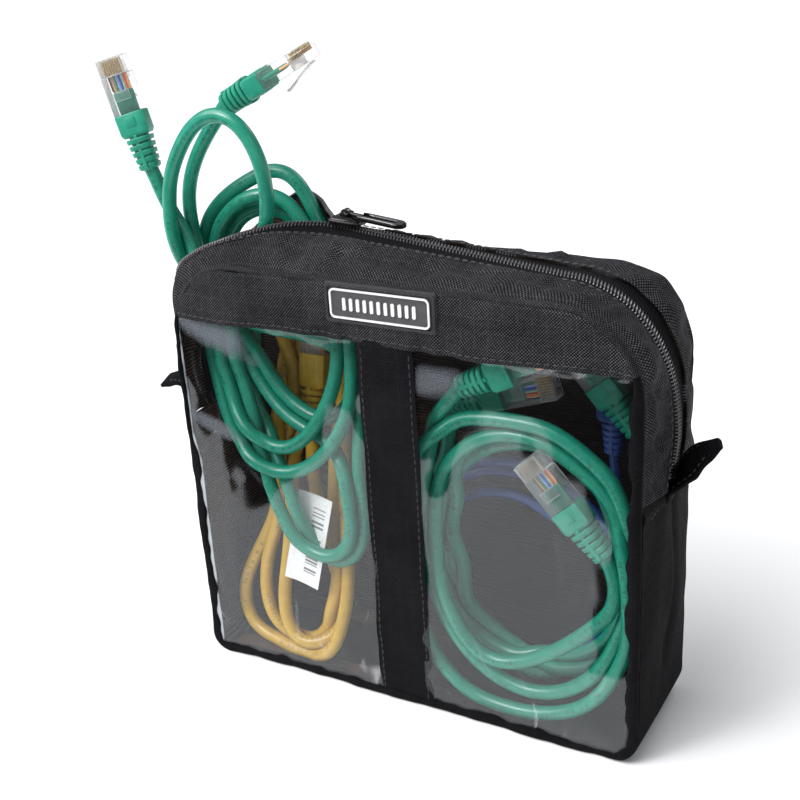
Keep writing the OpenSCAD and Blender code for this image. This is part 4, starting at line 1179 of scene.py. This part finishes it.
def make_tabs():
    right = [[96.3, 98.5], [97.6, 102], [100, 106.5], [103, 111.5], [107.5, 117], [113, 121.5]]
    left = [[-96.3, 98.5], [-97.9, 102], [-101.5, 107.5], [-108, 111.5], [-116.5, 112.5], [-126, 109]]
    for name, path in (("tab_right", right), ("tab_left", left)):
        p = even(catmull(path, 8), 0.9)
        s = lengths(p) / lengths(p)[-1]
        t = unit(np.gradient(p, axis=0))
        up = np.stack([-t[:, 1], 0 * s, t[:, 0]], -1) * (1 if name == "tab_right" else -1)
        lean = np.radians(38) * np.clip((s - 0.1) / 0.4, 0, 1) * (1 if name == "tab_right" else 0.3)
        wide = np.stack([0 * s, np.cos(lean), 0 * s], -1) + up * np.sin(lean)[:, None]
        up = up * np.cos(lean)[:, None] - np.stack([0 * s, np.sin(lean), 0 * s], -1)
        w = (6.3 if name == "tab_right" else 7.4) - (4.4 if name == "tab_right" else 2.8) * np.clip((s
            - 0.5) / 0.5, 0, 1) ** 1.4
        sides = 28
        a = TAU * np.arange(sides) / sides
        puff = waves(81, 6, 6, 18)
        wave = 0.35 * puff(s * 30, 0 * s)
        fold = 0.22 * np.cos(2 * a)[None] * np.sin(math.pi * s)[:, None]
        yy = w[:, None] * np.sign(np.cos(a)) * np.abs(np.cos(a)) ** 0.35
        hh = (1.05 + fold) * np.sign(np.sin(a)) * np.abs(np.sin(a)) ** 0.6
        g = np.stack([p[:, 0], 0 * s, p[:, 1]], -1)[:, None] + up[:,
            None] * (hh + wave[:, None] * np.cos(a)[None] ** 2 + 0.25 * np.sin(yy / 2.4))[..., None]
        g += yy[..., None] * wide[:, None]
        verts = g.reshape(-1, 3)
        faces = grid_faces(len(p), sides, ring=True).tolist()
        faces += [list(range(sides)), list(range(len(verts) - sides, len(verts)))]
        u, v = np.meshgrid(lengths(p), np.arange(sides + 1) * 1.1, indexing="ij")
        o = link(name + "_folded", mesh_of(name + "_folded", verts, faces,
                                           [grid_uvs(u, v), np.zeros((2 * sides, 2))]), SIDE_SHADED)
        put(o, "pouch", "ripstop_nylon", name)
        rows = []
        for q in (-1, 1):
            line = g[3:-6, 7] + wide[3:-6] * (q * (w - 1.6) - yy[:, 7])[3:-6, None]
            rows.append(line + up[3:-6] * 0.15)
        stitched(name + "_stitches", rows, "pouch", "ripstop_nylon", THREAD, pitch=2.6, half=0.9)


# ---- slider, puller, badge and label -------------------------------------------------
def rounded(w, h, r, n=6):
    """Outline of a rounded rectangle about the origin."""
    pts = []
    for sx, sy, first in ((1, 1, 0), (-1, 1, 90), (-1, -1, 180), (1, -1, 270)):
        for k in range(n + 1):
            a = math.radians(first + 90 * k / n)
            pts.append((sx * (w / 2 - r) + r * math.cos(a), sy * (h / 2 - r) + r * math.sin(a)))
    return pts


def nose(x, r, angles):
    """Points round the end of a bar, about (x, 0)."""
    return [(x + r * math.cos(a), r * math.sin(a)) for a in angles]


def make_slider():
    at = Matrix.Translation(SLIDER_AT) @ Matrix.Rotation(math.radians(SLOPE), 4, "Y")
    s = Solid()
    s.at = at
    shield = [(-6, -4.4), (-5, -4.9), (2, -3.9), (5.2, -3.3), (6, -2.6), (6, 2.6), (5.2, 3.3), (2, 3.9),
              (-5, 4.9), (-6, 4.4)]
    s.plate([(x * 1.05, y * 1.06) for x, y in shield], 1.75, 3.0, 0.4, 3)
    s.plate([(x * 0.97, y * 0.82) for x, y in shield], -2.7, -1.75, 0.3, 2)
    for q in (-1, 1):
        s.plate([(-5.4, q * 3.75), (-5.2, q * 4.6), (1.8, q * 3.75), (5.4, q * 3.1), (5.5, q * 2.5),
                 (1.6, q * 3.1)], 0.95, 1.9, 0.15, 1)
        s.plate([(-3.9, q * 1.55), (-3.9, q * 2.55), (2.3, q * 2.55), (2.3, q * 1.55)], 2.6, 4.2, 0.3, 2)
        s.plate([(-2.6, q * 1.55), (-2.6, q * 2.55), (0.9, q * 2.55), (0.9, q * 1.55)], 4.0, 5.7, 0.4, 3)
    s.box((-5.4, -0.25, -1.8), (-2.6, 0.25, 1.8), 0.1, 1)
    s.loft([(-5.9, 2.4, 0.4, 0, 2.6), (-5.2, 3.9, 0.9, 0, 2.8), (-1, 3.9, 1.0, 0, 2.9),
            (3.2, 2.9, 0.9, 0, 2.8), (5.2, 1.6, 0.5, 0, 2.6)], 24, 2.6)
    s.box((-5.2, -1.1, 2.6), (-3.0, 1.1, 3.3), 0.35, 3)
    s.at = at @ PIN @ QUARTER_TURN
    s.loft([(x, 0.85, 0.85) for x in (-2.7, -2.5, 2.5, 2.7)], 16, 2.0)
    put(s.done("zip_slider_body", ENAMEL), "slider", "slider_metal", "zip_slider")
    # puller: a slotted bar with a rolled eye and a round-nosed tip
    p = Solid()
    p.at = at @ PIN
    long = 25.0
    turn = np.linspace(-math.pi / 2, math.pi / 2, 14)
    outer = [(5.8, -2.6), (7.2, -3.1)] + nose(long - 3.2, 3.2, turn) + [(7.2, 3.1), (5.8, 2.6)]
    hole = [(9.5, -1.15)] + nose(long - 4.6, 1.15, turn) + [(9.5, 1.15)]
    upper = [[q for q in line if q[1] >= 0] for line in (outer, hole)]
    lower = [[(x, -y) for x, y in reversed(line) if y <= 0] for line in (outer, hole)]
    ring_side(p, *upper, 0.9)
    ring_side(p, *lower, 0.9, mirror=True)
    p.box((1.4, -0.95, -0.75), (7.0, 0.95, 0.75), 0.35, 3)
    eye = at @ PIN @ QUARTER_TURN
    p.at = eye
    p.loft([(-1.3, 1.6, 1.6), (-1.15, 1.9, 1.9), (1.15, 1.9, 1.9), (1.3, 1.6, 1.6)], 20, 2.0)
    put(p.done("zip_puller_slotted", PULL), "puller", "puller_metal", "zip_puller")


def ring_side(solid, outer, hole, half, mirror=False):
    """Half of a slotted plate, between its outline and its slot, with softened edges."""
    m = max(len(outer), len(hole)) * 2
    a, b = (resampled(np.array(q, float), m) for q in (outer, hole))
    if mirror:
        a, b = a * [1, -1], b * [1, -1]
    sections = []
    for (ax, ay), (bx, by) in zip(a, b):
        cut = [(0.0, half * 0.55), (0.14, half), (0.86, half), (1.0, half * 0.6), (1.0, -half * 0.6),
               (0.86, -half), (0.14, -half), (0.0, -half * 0.55)]
        sections.append([(ax + (bx - ax) * t, ay + (by - ay) * t, z) for t, z in cut])
    k = len(sections[0])
    v = [q for sec in sections for q in sec]
    f = [tuple(range(k)), tuple(range((m - 1) * k, m * k))]
    f += [(i * k + j, i * k + (j + 1) % k, (i + 1) * k + (j + 1) % k,
           (i + 1) * k + j) for i in range(m - 1) for j in range(k)]
    solid._add(v, f, 0, 1, 0)


def make_badge():
    s = Solid()
    z, y = BAND_Z + 14.6, -HD - 0.4
    s.at = Matrix.Translation((0, y, z)) @ Matrix.Rotation(math.pi / 2, 4, "X")
    s.plate(rounded(45, 15, 1.5), -0.25, 1.2, 0.3, 2)
    rim_out, rim_in = rounded(44.4, 14.4, 1.4, 6), rounded(41.6, 11.6, 1.0, 6)
    n = len(rim_out)
    v = [(x, q, h) for h, ring in ((1.1, rim_out), (1.75, rounded(44.0, 14.0, 1.3)),
                                   (1.75, rounded(42.0, 12.0, 1.1)), (1.1, rim_in)) for x, q in ring]
    f = [(k * n + i, k * n + (i + 1) % n, ((k + 1) % 4) * n + (i + 1) % n,
          ((k + 1) % 4) * n + i) for k in range(4) for i in range(n)]
    s._add(v, f, 0, 1, 0)
    s.plate(rounded(40.2, 10.6, 1.6), 1.1, 1.62, 0.12, 1, mat=1)
    put(s.done("badge_rubber_plate", [RUBBER, GREY_RUBBER]), "pouch", "badge_rubber", "badge")
    ring = np.array(rounded(43.0, 13.0, 1.2))
    ring = np.stack([ring[:, 0], np.full(len(ring), y - 1.8), ring[:, 1] + z], -1)
    stitched("badge_stitches", [np.concatenate([ring, ring[:1]])], "pouch", "badge_rubber", THREAD,
             pitch=2.2, half=0.75, thick=0.22)


def make_label():
    w, h, n = 17, 38, 12
    u, v = np.meshgrid(np.linspace(0, w, n), np.linspace(0, h, n + 6), indexing="ij")
    local = np.stack([u - w / 2, 1.1 * np.sin(u / w * math.pi + 0.5) - 0.8 + 0 * v, v - h / 2], -1)
    a, b = math.radians(-14), math.radians(7)
    ry = np.array([[math.cos(b), 0, math.sin(b)], [0, 1, 0], [-math.sin(b), 0, math.cos(b)]])
    rx = np.array([[1, 0, 0], [0, math.cos(a), -math.sin(a)], [0, math.sin(a), math.cos(a)]])
    g = local @ (rx @ ry).T + [-47, -17.2, 58]
    o = link("yellow_label_paper", sheet_mesh("yellow_label_paper", g, 0.15, u, v, flip=True), PAPER)
    put(o, "pouch", "label_paper", "yellow_label")


GREY_RUBBER = moulded("badge_field", (0.055, 0.055, 0.06), 0.5)
make_windows()
make_front()
make_bindings()
make_lower_gusset()
make_upper_gussets()
make_back()
make_tabs()
make_slider()
make_badge()
make_label()
for node, look in (("seam_tape_front", INNER_SHADED), ("seam_tape_back", INNER_SHADED), ("badge_emblem", RELIEF),
                   ("zip_stops", PULL)):
    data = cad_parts[node].data
    for i in range(max(1, len(data.materials))):
        if i < len(data.materials):
            data.materials[i] = look
        else:
            data.materials.append(look)


# ---- floor, light and the dark card that the upper film mirrors ------------------------
def stage_look(name, colour, rough):
    k = Look(name, colour, rough, Specular_IOR_Level=0.1)
    at = k.place()[0]
    k.use("Base Color", k.mix(k.noise(at, 0.01, 2.0), tuple(c * 0.985 for c in colour), colour))
    return k.mat


def flat(name, points, z, look):
    me = bpy.data.meshes.new(name)
    me.from_pydata([(x, y, z) for x, y in points], [], [tuple(range(len(points)))])
    me.materials.append(look)
    o = bpy.data.objects.new(name, me)
    scene.collection.objects.link(o)
    return o


def area(name, where, target, size, power):
    data = bpy.data.lights.new(name, "AREA")
    data.shape, data.size, data.energy = "DISK", size, power
    o = bpy.data.objects.new(name, data)
    o.location = where
    o.rotation_euler = (Vector(target) - Vector(where)).to_track_quat("-Z", "Y").to_euler()
    scene.collection.objects.link(o)


flat("floor", [(-14, -14), (14, -14), (14, 14), (-14, 14)], -0.0002,
     stage_look("floor_paper", (0.92, 0.92, 0.92), 0.7))
edge = catmull([[-0.9, -0.30], [-0.4, -0.225], [-0.222, -0.186], [-0.197, -0.163], [-0.164, -0.149],
                [-0.145, -0.170],
                [-0.128, -0.190], [-0.138, -0.236], [-0.12, -0.280], [-0.079, -0.286], [-0.058, -0.277],
                [-0.036, -0.26],
                [-0.003, -0.215], [0.033, -0.164], [0.068, -0.11], [0.15, -0.08], [1.0, -0.06]], 8)
card = flat("dark_card", edge.tolist() + [[1.0, -1.4], [-1.2, -1.4]], 0.001,
            stage_look("dark_card", (0.01, 0.01, 0.01), 0.8))
card.visible_camera = card.visible_diffuse = card.visible_shadow = False
area("key", (-0.7, -1.1, 1.3), (0, 0, 0.08), 0.5, 11)
area("fill", (1.2, -0.7, 0.9), (0, 0, 0.1), 0.7, 1.5)
area("rear", (0.3, 1.3, 1.2), (0, 0, 0.1), 0.8, 5)
sun = bpy.data.lights.new("sky", "SUN")
sun.energy, sun.angle = 3.5, math.radians(60)
sky = bpy.data.objects.new("sky", sun)
sky.rotation_euler = (math.radians(26), math.radians(-32), 0)
scene.collection.objects.link(sky)
world = bpy.data.worlds.new("studio")
scene.world = world
world.use_nodes = True
world.node_tree.nodes["Background"].inputs[0].default_value = (0.93, 0.95, 1.0, 1)
world.node_tree.nodes["Background"].inputs[1].default_value = 0.36
